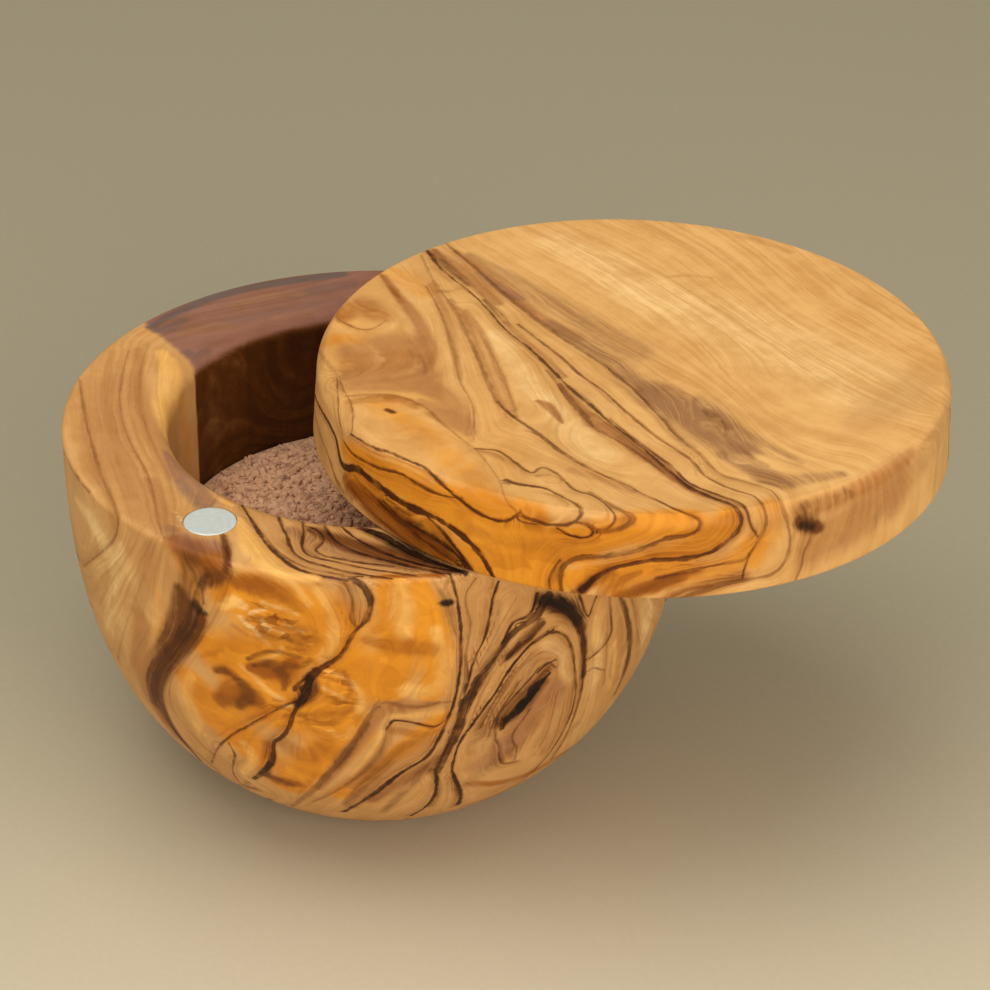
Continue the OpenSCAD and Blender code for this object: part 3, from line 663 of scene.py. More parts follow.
BOWL_WASHES = {
    "amber": (
        (0.4, (1.4, 1.6, 1.2), [(182, 398), (184, 428), (190, 456)]),
        (0.5, (0.8, 1.2), [(176, 556), (184, 574), (197, 594)]),
        (0.3, (1.2, 2.0, 1.6), [(158, 592), (160, 612), (156, 634)]),
        (1.0, (3.0, 5.0, 5.0, 4.6), [(228, 596), (262, 602), (300, 612), (332, 624)]),
        (1.0, (3.4, 6.0, 6.0, 5.0), [(212, 650), (250, 664), (295, 660), (325, 650)]),
        (1.0, (2.6, 4.4, 4.4, 3.4), [(190, 680), (205, 702), (232, 728), (262, 758)]),
        (1.0, (4.4, 5.0, 4.4), [(250, 700), (300, 716), (335, 704), (350, 676)]),
        (1.0, (3.0, 3.6, 3.4), [(290, 785), (320, 760), (350, 730)]),
        (1.0, (2.4, 3.6, 3.4, 2.6), [(392, 590), (398, 630), (396, 665), (388, 692)]),
        (1.0, (1.6, 2.6, 2.4, 2.0), [(420, 588), (432, 625), (438, 660), (432, 692)]),
        (0.9, (1.6, 2.0, 1.8), [(440, 718), (420, 738), (400, 752)]),
        (0.8, (1.4, 1.8), [(400, 752), (370, 775), (340, 795)]),
        (0.5, (1.6,), [(545, 765), (520, 778)]),
    ),
    "honey": (
        (0.9, (0.8, 1.1, 0.7), [(222, 606), (234, 600), (244, 606)]),
        (0.45, (1.2, 1.8, 1.8), [(190, 676), (186, 698), (202, 732)]),
        (0.6, (1.6, 2.2, 1.2), [(398, 590), (402, 612), (404, 636)]),
        (0.6, (1.0, 1.6, 1.4), [(436, 630), (446, 665), (440, 692), (405, 690)]),
        (0.6, (0.8, 1.2, 1.0), [(318, 590), (334, 615), (334, 645), (322, 660)]),
        (0.55, (1.2,), [(246, 745), (256, 760), (244, 772)]),
        (0.6, (0.6,), [(242, 666), (254, 675), (266, 690), (282, 699)]),
        (0.55, (0.5,), [(262, 660), (276, 656), (282, 648)]),
        (0.5, (0.5,), [(296, 700), (304, 690), (300, 678), (312, 666)]),
        (0.6, (0.4,), [(318, 686), (332, 692), (346, 700)]),
        (0.6, (0.4,), [(326, 671), (340, 675), (350, 682)]),
        (0.6, (0.6, 0.9), [(352, 684), (362, 694), (360, 710)]),
        (0.5, (0.7,), [(330, 732), (345, 740), (352, 728)]),
        (0.6, (0.7, 0.5), [(383, 732), (374, 752), (352, 776)]),
        (0.5, (0.7,), [(392, 716), (420, 715), (442, 712)]),
        (0.6, (0.5, 0.8), [(286, 578), (300, 592), (308, 604)]),
        (1.0, (0.8, 1.6, 2.0, 1.4, 0.8), [(238, 520), (250, 542), (262, 558), (282, 570), (315, 577)]),
        (1.0, (1.0, 2.2, 2.6, 1.6), [(160, 352), (172, 368), (172, 392), (164, 420), (168, 440)]),
        (0.8, (0.5,), [(206, 486), (216, 498), (232, 505)]),
        (0.5, (1.0, 1.2), [(599, 602), (598, 622), (594, 640)]),
        (0.5, (0.8, 1.0), [(616, 640), (617, 660), (612, 684)]),
    ),
    "pale": (
        (0.3, (3.0, 4.0, 3.0), [(112, 545), (130, 580), (150, 612)]),
        (0.55, (0.9, 1.6, 1.8), [(76, 500), (92, 520), (104, 545)]),
        (0.35, (1.0, 1.6), [(120, 545), (112, 590), (108, 630)]),
        # Lightens the bowl's left side: partly pale wood, partly painted light.
        (0.3, (4.0, 6.0, 5.0), [(92, 505), (106, 570), (120, 630)]),
        (0.4, (1.0, 1.4), [(595, 620), (600, 655), (592, 690)]),
        (0.45, (1.2, 1.6, 1.0), [(545, 645), (562, 650), (568, 680)]),
        (0.6, (1.6, 2.2, 1.6), [(646, 602), (648, 620), (642, 642)]),
        (0.6, (0.4,), [(250, 613), (264, 609)]),
        (0.5, (0.35,), [(262, 602), (284, 610)]),
        (0.45, (0.35,), [(278, 606), (298, 615)]),
        (0.65, (0.45,), [(262, 620), (267, 629)]),
        (0.65, (0.45,), [(251, 627), (259, 635)]),
        (0.5, (0.35,), [(268, 627), (286, 634)]),
        (0.45, (0.35,), [(284, 624), (304, 632)]),
        (0.5, (0.4,), [(260, 637), (270, 645)]),
        (0.6, (0.45,), [(240, 617), (248, 626)]),
        (0.6, (0.4,), [(284, 706), (294, 706)]),
        (0.7, (0.3,), [(172, 510), (176, 513)]),
        (0.7, (0.3,), [(178, 516), (181, 520)]),
        (0.7, (0.35,), [(173, 524), (178, 527)]),
        (0.6, (0.25,), [(168, 519), (171, 521)]),
    ),
    "tan": (
        (0.6, (1.5, 2.0, 1.6), [(350, 806), (386, 776), (430, 740)]),
        (0.35, (2.0, 3.4, 3.4, 2.4), [(566, 640), (548, 668), (520, 694), (494, 724)]),
        (0.3, (1.2, 1.6, 1.2), [(262, 556), (292, 566), (330, 573)]),
        (0.55, (1.6, 1.8, 1.4), [(150, 548), (146, 580), (138, 612)]),
        (0.8, (2.0, 2.8, 2.6, 1.8), [(142, 622), (138, 664), (150, 700), (178, 738)]),
        (0.9, (1.0, 1.3, 1.2, 0.9), [(386, 707), (370, 724), (356, 744), (340, 764), (318, 788)]),
        (0.8, (1.4, 1.5, 0.9, 0.5), [(384, 708), (400, 706), (416, 706), (438, 703)]),
        (0.65, (0.6, 1.0, 1.0), [(391, 728), (386, 746), (372, 764), (350, 786)]),
        (0.85, (1.0, 1.6, 1.8, 1.5), [(446, 750), (425, 768), (400, 782), (372, 800)]),
        (0.25, (2.4, 3.0, 3.0), [(478, 596), (480, 640), (470, 690), (462, 740)]),
        (0.2, (2.0, 2.6), [(515, 600), (540, 640), (552, 690)]),
        (0.6, (2.6, 3.2, 3.0, 2.4), [(555, 690), (535, 720), (510, 745), (480, 765)]),
        (0.6, (1.4, 1.6), [(572, 690), (565, 720), (545, 750)]),
        (0.5, (2.4, 3.0, 2.6), [(536, 690), (524, 722), (504, 752)]),
        (0.35, (2.0, 2.4), [(526, 652), (506, 690), (490, 722)]),
        (0.6, (1.0, 1.2), [(619, 622), (621, 650), (616, 680)]),
        (0.6, (1.0, 1.6, 1.6), [(138, 350), (138, 392), (152, 430), (176, 476)]),
        (0.4, (0.8, 1.1), [(112, 352), (104, 392), (112, 440), (132, 496)]),
        (0.5, (1.2, 1.6), [(150, 480), (162, 505), (172, 528)]),
        (0.45, (3.0, 4.0, 4.0, 3.0), [(120, 380), (110, 430), (124, 480), (148, 516)]),
        (0.4, (1.6, 1.8), [(90, 380), (86, 430), (98, 480)]),
    ),
    "rust": (
        (0.45, (1.5, 2.6, 2.6, 2.0, 1.2), [(196, 575), (186, 612), (166, 648), (152, 684), (164, 722)]),
        (0.6, (1.0, 1.7, 1.3), [(232, 580), (258, 584), (276, 594)]),
        (0.45, (0.8,), [(286, 600), (302, 606)]),
        (0.4, (0.6,), [(200, 656), (222, 651)]),
        (0.95, (1.6, 2.4, 2.4, 1.4), [(222, 700), (234, 690), (246, 694), (258, 702)]),
        (0.95, (0.8, 1.8, 2.0, 1.2), [(250, 668), (266, 670), (282, 672), (292, 664)]),
        (0.8, (0.8, 1.2, 0.7), [(216, 670), (226, 670), (236, 676)]),
        (0.55, (0.8, 1.3, 1.0), [(302, 716), (328, 718), (350, 708)]),
        (0.5, (1.6, 2.2, 1.8), [(282, 742), (308, 760), (326, 744)]),
        (0.9, (1.2, 1.8, 1.2), [(268, 776), (282, 782), (297, 784)]),
        (0.55, (0.8, 1.8, 1.6), [(366, 640), (396, 646), (432, 650)]),
        (0.6, (0.4,), [(324, 677), (338, 681)]),
        (0.5, (0.4,), [(320, 693), (345, 702)]),
        (0.5, (0.5,), [(344, 672), (352, 690), (346, 700)]),
        (0.5, (1.0,), [(395, 731), (425, 735)]),
        (0.7, (1.0, 1.2), [(268, 744), (270, 758)]),
        (0.45, (2.2, 1.8), [(270, 640), (300, 650), (312, 640)]),
        (0.6, (1.0, 1.4, 1.4), [(468, 784), (500, 784), (535, 772), (565, 752)]),
        (0.9, (1.6, 3.0, 3.0, 2.0), [(176, 540), (196, 552), (212, 562), (214, 576)]),
        (0.25, (0.9, 1.2), [(165, 552), (168, 575), (172, 592)]),
        (0.6, (1.2, 2.2, 1.8), [(238, 584), (262, 588), (286, 594)]),
        (0.8, (0.5,), [(372, 577), (400, 576), (442, 575)]),
        (0.4, (0.9,), [(340, 604), (344, 584)]),
    ),
    "rose": (
        (0.35, (2.2, 3.4, 3.0), [(556, 688), (522, 726), (484, 764)]),
        (0.2, (2.6, 3.0, 2.6), [(158, 396), (171, 378), (186, 360)]),
        (0.6, (0.6, 1.8, 2.4, 2.2), [(166, 452), (180, 472), (194, 488), (206, 502)]),
        (0.5, (1.2, 2.2, 2.4, 1.8), [(168, 528), (184, 540), (204, 546), (222, 546)]),
    ),
    "slate": (
        (0.4, (1.6, 2.2, 1.6), [(292, 296), (326, 288), (352, 284)]),
        (0.35, (1.0, 1.4), [(180, 482), (192, 498), (200, 506)]),
        (0.85, (0.9, 1.3, 1.4, 1.4), [(150, 327), (180, 310), (240, 288), (340, 274)]),
        (0.55, (1.2, 1.8, 1.4), [(156, 330), (166, 330), (182, 320)]),
        (0.45, (1.0, 1.6, 1.2), [(188, 352), (198, 360), (206, 352)]),
        (0.3, (1.6, 1.6), [(230, 322), (290, 308), (340, 300)]),
    ),
    "smoke": (
        # On the rim just in front of the lid's edge: partly dark wood, partly painted shadow of the lid.
        (0.75, (1.2, 2.4, 2.2), [(290, 530), (330, 548), (410, 566)]),
        (0.55, (1.2, 1.8, 1.4), [(184, 334), (206, 328), (232, 326)]),
        (0.5, (1.4, 1.6, 1.4), [(236, 306), (262, 296), (300, 294)]),
        (0.35, (1.0, 1.2), [(262, 320), (310, 312)]),
        (0.5, (1.0, 0.8), [(498, 604), (494, 640), (480, 672)]),
        (0.45, (1.4, 2.2, 2.4, 1.6), [(536, 656), (512, 690), (492, 722), (478, 750)]),
        (0.4, (1.2, 2.0, 1.6), [(562, 690), (556, 716), (540, 742)]),
        (0.35, (1.0, 1.4), [(470, 600), (472, 640), (466, 670)]),
        (0.4, (1.0, 1.2), [(520, 600), (514, 618), (504, 640)]),
        (0.5, (1.0, 1.2), [(350, 592), (355, 608), (357, 618)]),
    ),
    "umber": (
        (0.5, (1.4, 2.2, 2.0, 1.2), [(190, 562), (185, 590), (180, 616), (164, 644)]),
        (0.5, (0.8, 1.4, 1.2, 0.7), [(346, 804), (372, 776), (400, 748), (434, 730)]),
        (0.45, (0.8, 1.3, 0.8), [(384, 812), (408, 786), (437, 758)]),
        (0.3, (1.4, 2.2, 1.4), [(514, 748), (490, 768), (460, 788)]),
        (0.3, (0.9, 1.4, 1.0), [(548, 670), (524, 696), (502, 722)]),
        (0.3, (0.8, 1.2), [(196, 358), (214, 343), (262, 326), (310, 316)]),
        (0.9, (0.5, 1.2, 1.5, 1.5, 1.4, 1.2, 1.0, 0.9, 0.7, 0.5), [
            (196, 602), (203, 618), (195, 631), (184, 643), (170, 659), (161, 675), (158, 692),
            (164, 712), (178, 736), (202, 762)]),
        (0.75, (0.8, 2.2, 2.6, 2.0, 1.6, 1.4, 1.0), [
            (178, 588), (185, 606), (184, 624), (171, 643), (156, 661), (150, 680), (154, 704)]),
        (0.8, (0.6, 0.8, 0.6), [(224, 536), (228, 552), (226, 570)]),
        (0.7, (0.8, 1.4, 1.4, 0.8), [(226, 574), (215, 578), (206, 580), (200, 584)]),
        (0.6, (0.35,), [(205, 582), (202, 594), (204, 604)]),
        (0.4, (2.4, 2.2), [(190, 548), (206, 562)]),
        (0.7, (0.5, 0.8, 0.4), [(217, 671), (224, 670), (232, 675)]),
        (0.75, (0.7, 1.3, 1.5, 0.9), [(236, 680), (245, 686), (250, 696), (240, 706)]),
        (0.3, (1.2, 1.6), [(222, 696), (236, 704)]),
        (0.65, (0.4, 1.0, 1.3, 1.1, 0.5), [(254, 666), (266, 662), (278, 668), (286, 678), (284, 689)]),
        (0.55, (0.5,), [(248, 659), (262, 653), (276, 650), (300, 658)]),
        (0.5, (0.6,), [(284, 664), (300, 668), (310, 660)]),
        (0.6, (0.8, 0.8), [(272, 777), (290, 784)]),
        (0.9, (1.0, 1.5, 1.0), [(309, 679), (313, 688), (306, 698), (298, 703)]),
        (0.8, (0.6, 1.0), [(270, 763), (265, 774)]),
        (0.5, (0.6, 0.9), [(248, 782), (240, 792)]),
        (0.4, (0.4,), [(249, 617), (262, 618)]),
        (0.5, (0.45,), [(268, 615), (288, 622)]),
        (0.4, (0.45,), [(286, 627), (306, 631)]),
        (0.4, (0.4,), [(261, 631), (270, 635)]),
        (0.35, (0.6,), [(274, 638), (288, 639)]),
        (0.35, (0.5,), [(232, 625), (246, 634)]),
        (0.35, (0.5,), [(292, 641), (308, 646)]),
        (0.3, (0.5,), [(290, 607), (302, 612)]),
        (0.4, (0.6,), [(368, 724), (354, 748), (338, 768)]),
        (0.4, (0.8, 1.1), [(425, 766), (400, 782), (374, 800)]),
        (0.75, (0.8, 1.4, 0.9), [(540, 624), (526, 640), (508, 656)]),
        (0.6, (0.7, 1.0, 1.0, 0.9), [(508, 638), (484, 672), (466, 706), (450, 744)]),
        (0.9, (1.4, 1.8, 1.8, 1.0), [(540, 600), (556, 603), (572, 612), (582, 628)]),
        (0.6, (0.9, 0.9, 0.6), [(582, 628), (585, 650), (583, 676)]),
        (0.6, (0.8, 1.6, 1.8, 1.2), [(548, 668), (536, 686), (518, 702), (500, 722)]),
        (0.55, (0.6,), [(582, 630), (584, 655), (581, 690)]),
        (0.35, (0.7, 1.0, 0.5), [(442, 592), (447, 612), (454, 634)]),
        (0.55, (0.5, 0.8, 0.7), [(624, 602), (629, 628), (630, 652), (624, 674)]),
        (0.6, (0.8, 1.4, 1.1), [(546, 682), (526, 706), (504, 724)]),
        (0.3, (0.8, 1.2, 1.0), [(486, 705), (474, 730), (470, 752)]),
        (0.3, (1.2, 0.8), [(575, 725), (555, 752)]),
        (0.5, (0.6, 0.9), [(432, 770), (440, 790), (430, 806)]),
        (0.5, (0.7,), [(453, 776), (460, 796)]),
        # On the rim just in front of the lid's edge: partly dark wood, partly painted shadow of the lid.
        (0.8, (1.0, 2.2, 2.2, 1.2), [(312, 530), (345, 543), (400, 557), (450, 570)]),
        (0.4, (0.4, 0.6), [(300, 532), (302, 548), (316, 556)]),
    ),
    "soot": (
        (0.7, (0.5, 0.8, 0.5), [(192, 602), (197, 609), (206, 614)]),
        (0.35, (1.2, 1.8, 1.2), [(192, 612), (192, 624), (182, 638)]),
        (0.75, (0.9, 1.4, 1.4, 0.9), [(542, 600), (556, 602), (572, 608), (581, 622)]),
        (0.7, (0.4, 0.9, 1.1, 0.9, 0.4), [(545, 678), (534, 692), (524, 704), (514, 713), (505, 724)]),
        (0.95, (0.4, 0.7, 0.5), [(441, 603), (447, 603), (452, 602)]),
        # On the rim just in front of the lid's edge: partly dark wood, partly painted shadow of the lid.
        (0.7, (1.0, 1.7, 1.2, 0.6), [(370, 531), (398, 545), (430, 560), (460, 572)]),
    ),
    "flake": (
        (1.0, (1.5, 3.4, 3.4, 2.0), [(248, 612), (268, 620), (290, 632), (304, 640)]),
        (0.9, (1.4, 2.4, 2.0), [(322, 664), (334, 682), (346, 706)]),
        (0.6, (1.4, 2.0), [(276, 704), (300, 722), (326, 724)]),
    ),
}

# Fitting the growth rings and laying the strokes, in mm unless the name says otherwise
CORNER_CUT = 0.25
RBF_SOFTNESS = 3.0
RBF_SMOOTHING = 0.02
POINTS_AT_ONCE = 4000
ANCHOR_STEP_PX = 11.0
STROKE_STEP_PX = 1.5
STROKE_NUMBERS = 12
STROKE_JUMP = 4.0
STROKE_REACH = 6.0
STROKE_CAP = 0.15
LAYER_ROOM = 2.0
WASH_STEP_PX = 2.0
WASH_EDGE = 0.5
LEAST_SLOPE = 0.02
# How squarely a surface has to face the camera to count as seen, and over what range that begins
SEEN_START = 0.02
SEEN_SPAN = 0.12


def pixel_ray(px, py):
    """Direction in which the photograph's camera sees a pixel."""
    d = EYE_AHEAD + (px - FRAME_PX / 2) / FOCAL_PX * EYE_RIGHT + (FRAME_PX / 2 - py) / FOCAL_PX * EYE_UP
    return d / np.linalg.norm(d)


def walked(points, step):
    """The pixels of a line at even steps, and how far along it each one is, from 0 to 1."""
    p = np.array(points, float)
    along = np.concatenate([[0], np.cumsum(np.hypot(*np.diff(p, axis=0).T))])
    n = max(2, int(along[-1] / step) + 1)
    t = np.linspace(0, along[-1], n)
    return np.column_stack([np.interp(t, along, p[:, 0]), np.interp(t, along, p[:, 1])]), t / along[-1]


def rounded(points):
    """The same line with its corners cut twice, so that it bends as grain does."""
    p = np.array(points, float)
    for _ in range(2):
        if len(p) < 3:
            return p
        q = (1 - CORNER_CUT) * p[:-1] + CORNER_CUT * p[1:]
        r = CORNER_CUT * p[:-1] + (1 - CORNER_CUT) * p[1:]
        p = np.vstack([p[:1], np.column_stack([q, r]).reshape(-1, 2)[1:-1], p[-1:]])
    return p


class Skin:
    """Finds where the pixels of the photograph land on a piece."""

    def __init__(self, obj):
        verts = [v.co / MM for v in obj.data.vertices]
        self.tree = BVHTree.FromPolygons(verts, [tuple(p.vertices) for p in obj.data.polygons])

    def hits(self, pixels):
        """Place and normal where each pixel's ray meets the piece, or None where it misses."""
        out = []
        for px, py in pixels:
            place, normal, _, _ = self.tree.ray_cast(Vector(EYE), Vector(pixel_ray(px, py)))
            out.append(None if place is None else (np.array(place), np.array(normal)))
        return out


class RingField:
    """Ring number as a smooth function in the wood, fitted to the lines."""

    def __init__(self, places, rings):
        self.places = np.array(places)
        values = np.array(rings, float)
        n = len(values)
        table = self.spread(self.places) + np.eye(n) * RBF_SMOOTHING
        plane = np.column_stack([np.ones(n), self.places])
        system = np.block([[table, plane], [plane.T, np.zeros((4, 4))]])
        solved = np.linalg.lstsq(system, np.concatenate([values, np.zeros(4)]), rcond=None)[0]
        self.weights, self.plane = solved[:n], solved[n:]

    def spread(self, points):
        a = (points ** 2).sum(1)[:, None] + (self.places ** 2).sum(1)[None, :] - 2 * points @ self.places.T
        return -np.sqrt(np.maximum(a, 0) + RBF_SOFTNESS ** 2)

    def at(self, points):
        """Ring number and its gradient per mm at each point."""
        values, slopes = [], []
        for part in np.array_split(points, max(1, len(points) // POINTS_AT_ONCE)):
            basis = self.spread(part)
            values.append(basis @ self.weights + self.plane[0] + part @ self.plane[1:])
            share = self.weights[None, :] / basis
            slopes.append(part * share.sum(1)[:, None] - share @ self.places + self.plane[1:])
        return np.concatenate(values), np.vstack(slopes)


def stroke_points(skin, bent, widths, dark):
    """Finely spaced points of one dark line on the skin.

    Each holds its place, the ways along and across the line, half the width, the darkness and the stretch's
    length.
    """
    pixels, along = walked(bent, STROKE_STEP_PX)
    half = np.interp(along, np.linspace(0, 1, len(widths)), widths)
    hits = skin.hits(pixels)
    out = []
    for i in range(1, len(hits)):
        if not hits[i] or not hits[i - 1]:
            continue
        way = hits[i][0] - hits[i - 1][0]
        length = np.linalg.norm(way)
        if TINY < length < STROKE_JUMP:
            way /= length
            side = np.cross(way, hits[i][1])
            middle = (hits[i][0] + hits[i - 1][0]) / 2
            out.append(np.concatenate([middle, way, side, [half[i], dark, length]]))
    return np.array(out).reshape(-1, STROKE_NUMBERS)


def trace(skin, lines):
    """Ring anchors of the lines, and their strokes in two layers, which keep close neighbours apart."""
    places, rings = [], []
    layers = [np.zeros((0, STROKE_NUMBERS)), np.zeros((0, STROKE_NUMBERS))]
    for ring, dark, widths, points in lines.values():
        bent = rounded(points)
        for hit in skin.hits(walked(bent, ANCHOR_STEP_PX)[0]):
            if hit:
                places.append(hit[0])
                rings.append(ring)
        if not dark:
            continue
        stroke = stroke_points(skin, bent, widths, dark)
        if len(stroke):
            crowd = [closeness(stroke, layer) for layer in layers]
            pick = int(crowd[1] < crowd[0])
            layers[pick] = np.vstack([layers[pick], stroke])
    return places, rings, layers


def closeness(stroke, layer):
    """How many points of a stroke lie near the strokes of a layer."""
    if not len(layer):
        return 0
    gaps = np.linalg.norm(stroke[:, None, :3] - layer[None, :, :3], axis=2).min(1)
    return int((gaps < LAYER_ROOM).sum())


def vertex_arrays(obj):
    """Places in mm and normals of a piece's vertices."""
    mesh = obj.data
    co = np.empty(len(mesh.vertices) * 3)
    mesh.vertices.foreach_get("co", co)
    no = np.empty(len(mesh.vertices) * 3)
    mesh.vertices.foreach_get("normal", no)
    return co.reshape(-1, 3) / MM, no.reshape(-1, 3)


def store(obj, name, columns):
    """Saves up to four numbers per vertex, for the material."""
    data = np.zeros((len(obj.data.vertices), 4), np.float32)
    for i, c in enumerate(columns):
        data[:, i] = c
    layer = obj.data.attributes.new(name, "FLOAT_COLOR", "POINT")
    layer.data.foreach_set("color", data.ravel())


def stroke_columns(points, strokes):
    """Signed and plain distance to the nearest stroke, its half width and its darkness, for each point."""
    tree = KDTree(len(strokes))
    for i, s in enumerate(strokes):
        tree.insert(Vector(s[:3]), i)
    tree.balance()
    near = strokes[[tree.find(Vector(p))[1] for p in points]]
    offset = points - near[:, 0:3]
    along = (offset * near[:, 3:6]).sum(1)
    signed = (offset * near[:, 6:9]).sum(1)
    away = np.linalg.norm(offset - along[:, None] * near[:, 3:6], axis=1)
    beyond = np.maximum(np.abs(along) - near[:, 11] / 2 - STROKE_CAP, 0)
    plain = np.minimum(np.hypot(away, beyond), STROKE_REACH)
    return np.clip(signed, -STROKE_REACH, STROKE_REACH), plain, near[:, 9], near[:, 10]


def seen_share(points, normals):
    """1 where the photograph shows the surface, falling to 0 where it turns away."""
    to_eye = EYE - points
    to_eye /= np.linalg.norm(to_eye, axis=1)[:, None]
    facing = (to_eye * normals).sum(1)
    return np.clip((facing - SEEN_START) / SEEN_SPAN, 0, 1)


def wash_columns(points, skin, washes):
    """Share of each kind of wash at each point: full along its middle, and nothing past its edge."""
    columns = {kind: np.zeros(len(points)) for kind in STAIN_AND_SHADE_KINDS}
    strokes = [(kind, *wash) for kind, group in washes.items() for wash in group]
    for kind, amount, widths, pixels in strokes:
        at, along = walked(rounded(pixels), WASH_STEP_PX)
        half = np.interp(along, np.linspace(0, 1, len(widths)), widths)
        found = [(hit[0], w) for hit, w in zip(skin.hits(at), half) if hit]
        if not found:
            continue
        middle, half = np.array([f[0] for f in found]), np.array([f[1] for f in found])
        reach = half.max() * (1 + WASH_EDGE)
        near = np.all((points > middle.min(0) - reach) & (points < middle.max(0) + reach), axis=1)
        if not near.any():
            continue
        gaps = np.linalg.norm(points[near][:, None, :] - middle[None, :, :], axis=2) / half[None, :]
        share = amount * np.clip((1 + WASH_EDGE - gaps.min(1)) / (2 * WASH_EDGE), 0, 1)
        columns[kind][near] = 1 - (1 - columns[kind][near]) * (1 - share)
    return columns


# Pixels where the painted shade on the well's wall and the dark part of the rim begin
STRIP_EDGE_PX = (195, 400)
WALL_BREAK_PX = (245, 380)
RIM_TURN_PX = ((148, 330), (188, 367))
# The well's wall, dark wood under painted shade with more painted shadow of the lid on its right part:
# depths of its two parts, the blur of its ends, and where it begins under the rim
WALL_SHADE_DEPTH = 0.7
WALL_SHADOW_MORE = 0.24
WALL_BANDS = ((0.03, 41, 0), (0.03, 23, 1))
WALL_BREAK_BLUR = 0.6
WALL_END_BLURS = (14.0, 0.5)
WALL_TOP = 1.0
WALL_TOP_FADE = 1.4
# The dark rim: the blurs of its ends, and how far it reaches down inside and outside, with the fade of each
RIM_TURN_BLUR = 1.6
RIM_BACK_BLUR = 8.0
RIM_OUTER_WIDTH = 3.0
RIM_REACH_IN = (4.5, 2.0)
RIM_REACH_OUT = (15.0, 13.0)


def past(points, place, way, blur):
    """0 before the upright plane through place that faces the level way, and 1 from blur beyond it."""
    way = way * (1, 1, 0)
    return np.clip((points - place) @ (way / np.linalg.norm(way)) / blur, 0, 1)


def well_painted_shade(points, skin):
    """Painted shade over dark wood on the well's wall, deeper on the right under the lid's shadow; it
    begins at the edge of the lit strip on its left.
    """
    strip, middle = (hit[0] for hit in skin.hits([STRIP_EDGE_PX, WALL_BREAK_PX]))
    turn = np.arctan2(points[:, 1], points[:, 0])
    bands = sum(height * np.sin(turn * count + start) for height, count, start in WALL_BANDS)
    depth = WALL_SHADE_DEPTH + bands + WALL_SHADOW_MORE * past(points, middle, EYE_RIGHT, WALL_BREAK_BLUR)
    below = np.clip((RIM_Z - WALL_TOP - points[:, 2]) / WALL_TOP_FADE, 0, 1)
    inside = np.hypot(points[:, 0], points[:, 1]) < WELL_R + MOUTH_ROUND
    inside &= points[:, 2] > WELL_FLOOR_Z - 1.0
    blur = np.where(points @ EYE_RIGHT > 0, *WALL_END_BLURS)
    return depth * past(points, strip, EYE_AHEAD, blur) * below * inside


def rim_shade(points, skin):
    """The rim is dark at the back, from a line across its width."""
    start, end = (hit[0] for hit in skin.hits(RIM_TURN_PX))
    across = np.cross(end - start, (0.0, 0.0, -1.0))
    across *= np.sign(across @ EYE_AHEAD)
    outside = np.hypot(points[:, 0], points[:, 1]) > RIM_R - RIM_OUTER_WIDTH
    reach, fade = (np.where(outside, out, within) for out, within in zip(RIM_REACH_OUT, RIM_REACH_IN))
    above = np.clip((points[:, 2] - RIM_Z + reach) / fade, 0, 1)
    turned = past(points, start, across, RIM_TURN_BLUR)
    return turned * past(points, np.zeros(3), EYE_AHEAD, RIM_BACK_BLUR) * above


STAIN_AND_SHADE_LAYERS = ("stain_and_shade_a", "stain_and_shade_b", "stain_and_shade_c")
VEIN_LAYERS = ("vein_a", "vein_b")


def figure(obj, lines, guides, washes, shades=()):
    """Works out the wood's figure on a piece and stores it on its vertices."""
    skin = Skin(obj)
    places, rings, strokes = trace(skin, lines)
    for guide in guides:
        if len(guide) == 3:
            hit = skin.hits([guide[:2]])[0]
            places.append(hit[0])
        else:
            places.append(np.array(guide[:3], float))
        rings.append(guide[-1])
    points, normals = vertex_arrays(obj)
    field = RingField(places, rings)
    values, gradient = field.at(points)
    slope = np.linalg.norm(gradient - normals * (gradient * normals).sum(1)[:, None], axis=1)
    store(obj, "grain", [values, np.maximum(slope, LEAST_SLOPE), seen_share(points, normals)])
    for name, layer in zip(VEIN_LAYERS, strokes):
        store(obj, name, stroke_columns(points, layer))
    columns = wash_columns(points, skin, washes)
    # the shades add the rim's dark wood at the back and, on the bowl, painted shade over dark wood on the
    # well's wall
    for kind, amount, shade in shades:
        columns[kind] = np.maximum(columns[kind], np.minimum(amount * shade(points, skin), 1))
    shares = list(columns.values())
    for i, name in enumerate(STAIN_AND_SHADE_LAYERS):
        store(obj, name, shares[4 * i:4 * i + 4])


def srgb(r, g, b):
    """A colour given in the photograph's 0 to 255 scale, as Blender's linear one."""
    out = []
    for v in (r, g, b):
        v /= 255
        out.append(v / 12.92 if v <= 0.04045 else ((v + 0.055) / 1.055) ** 2.4)
    return (*out, 1.0)


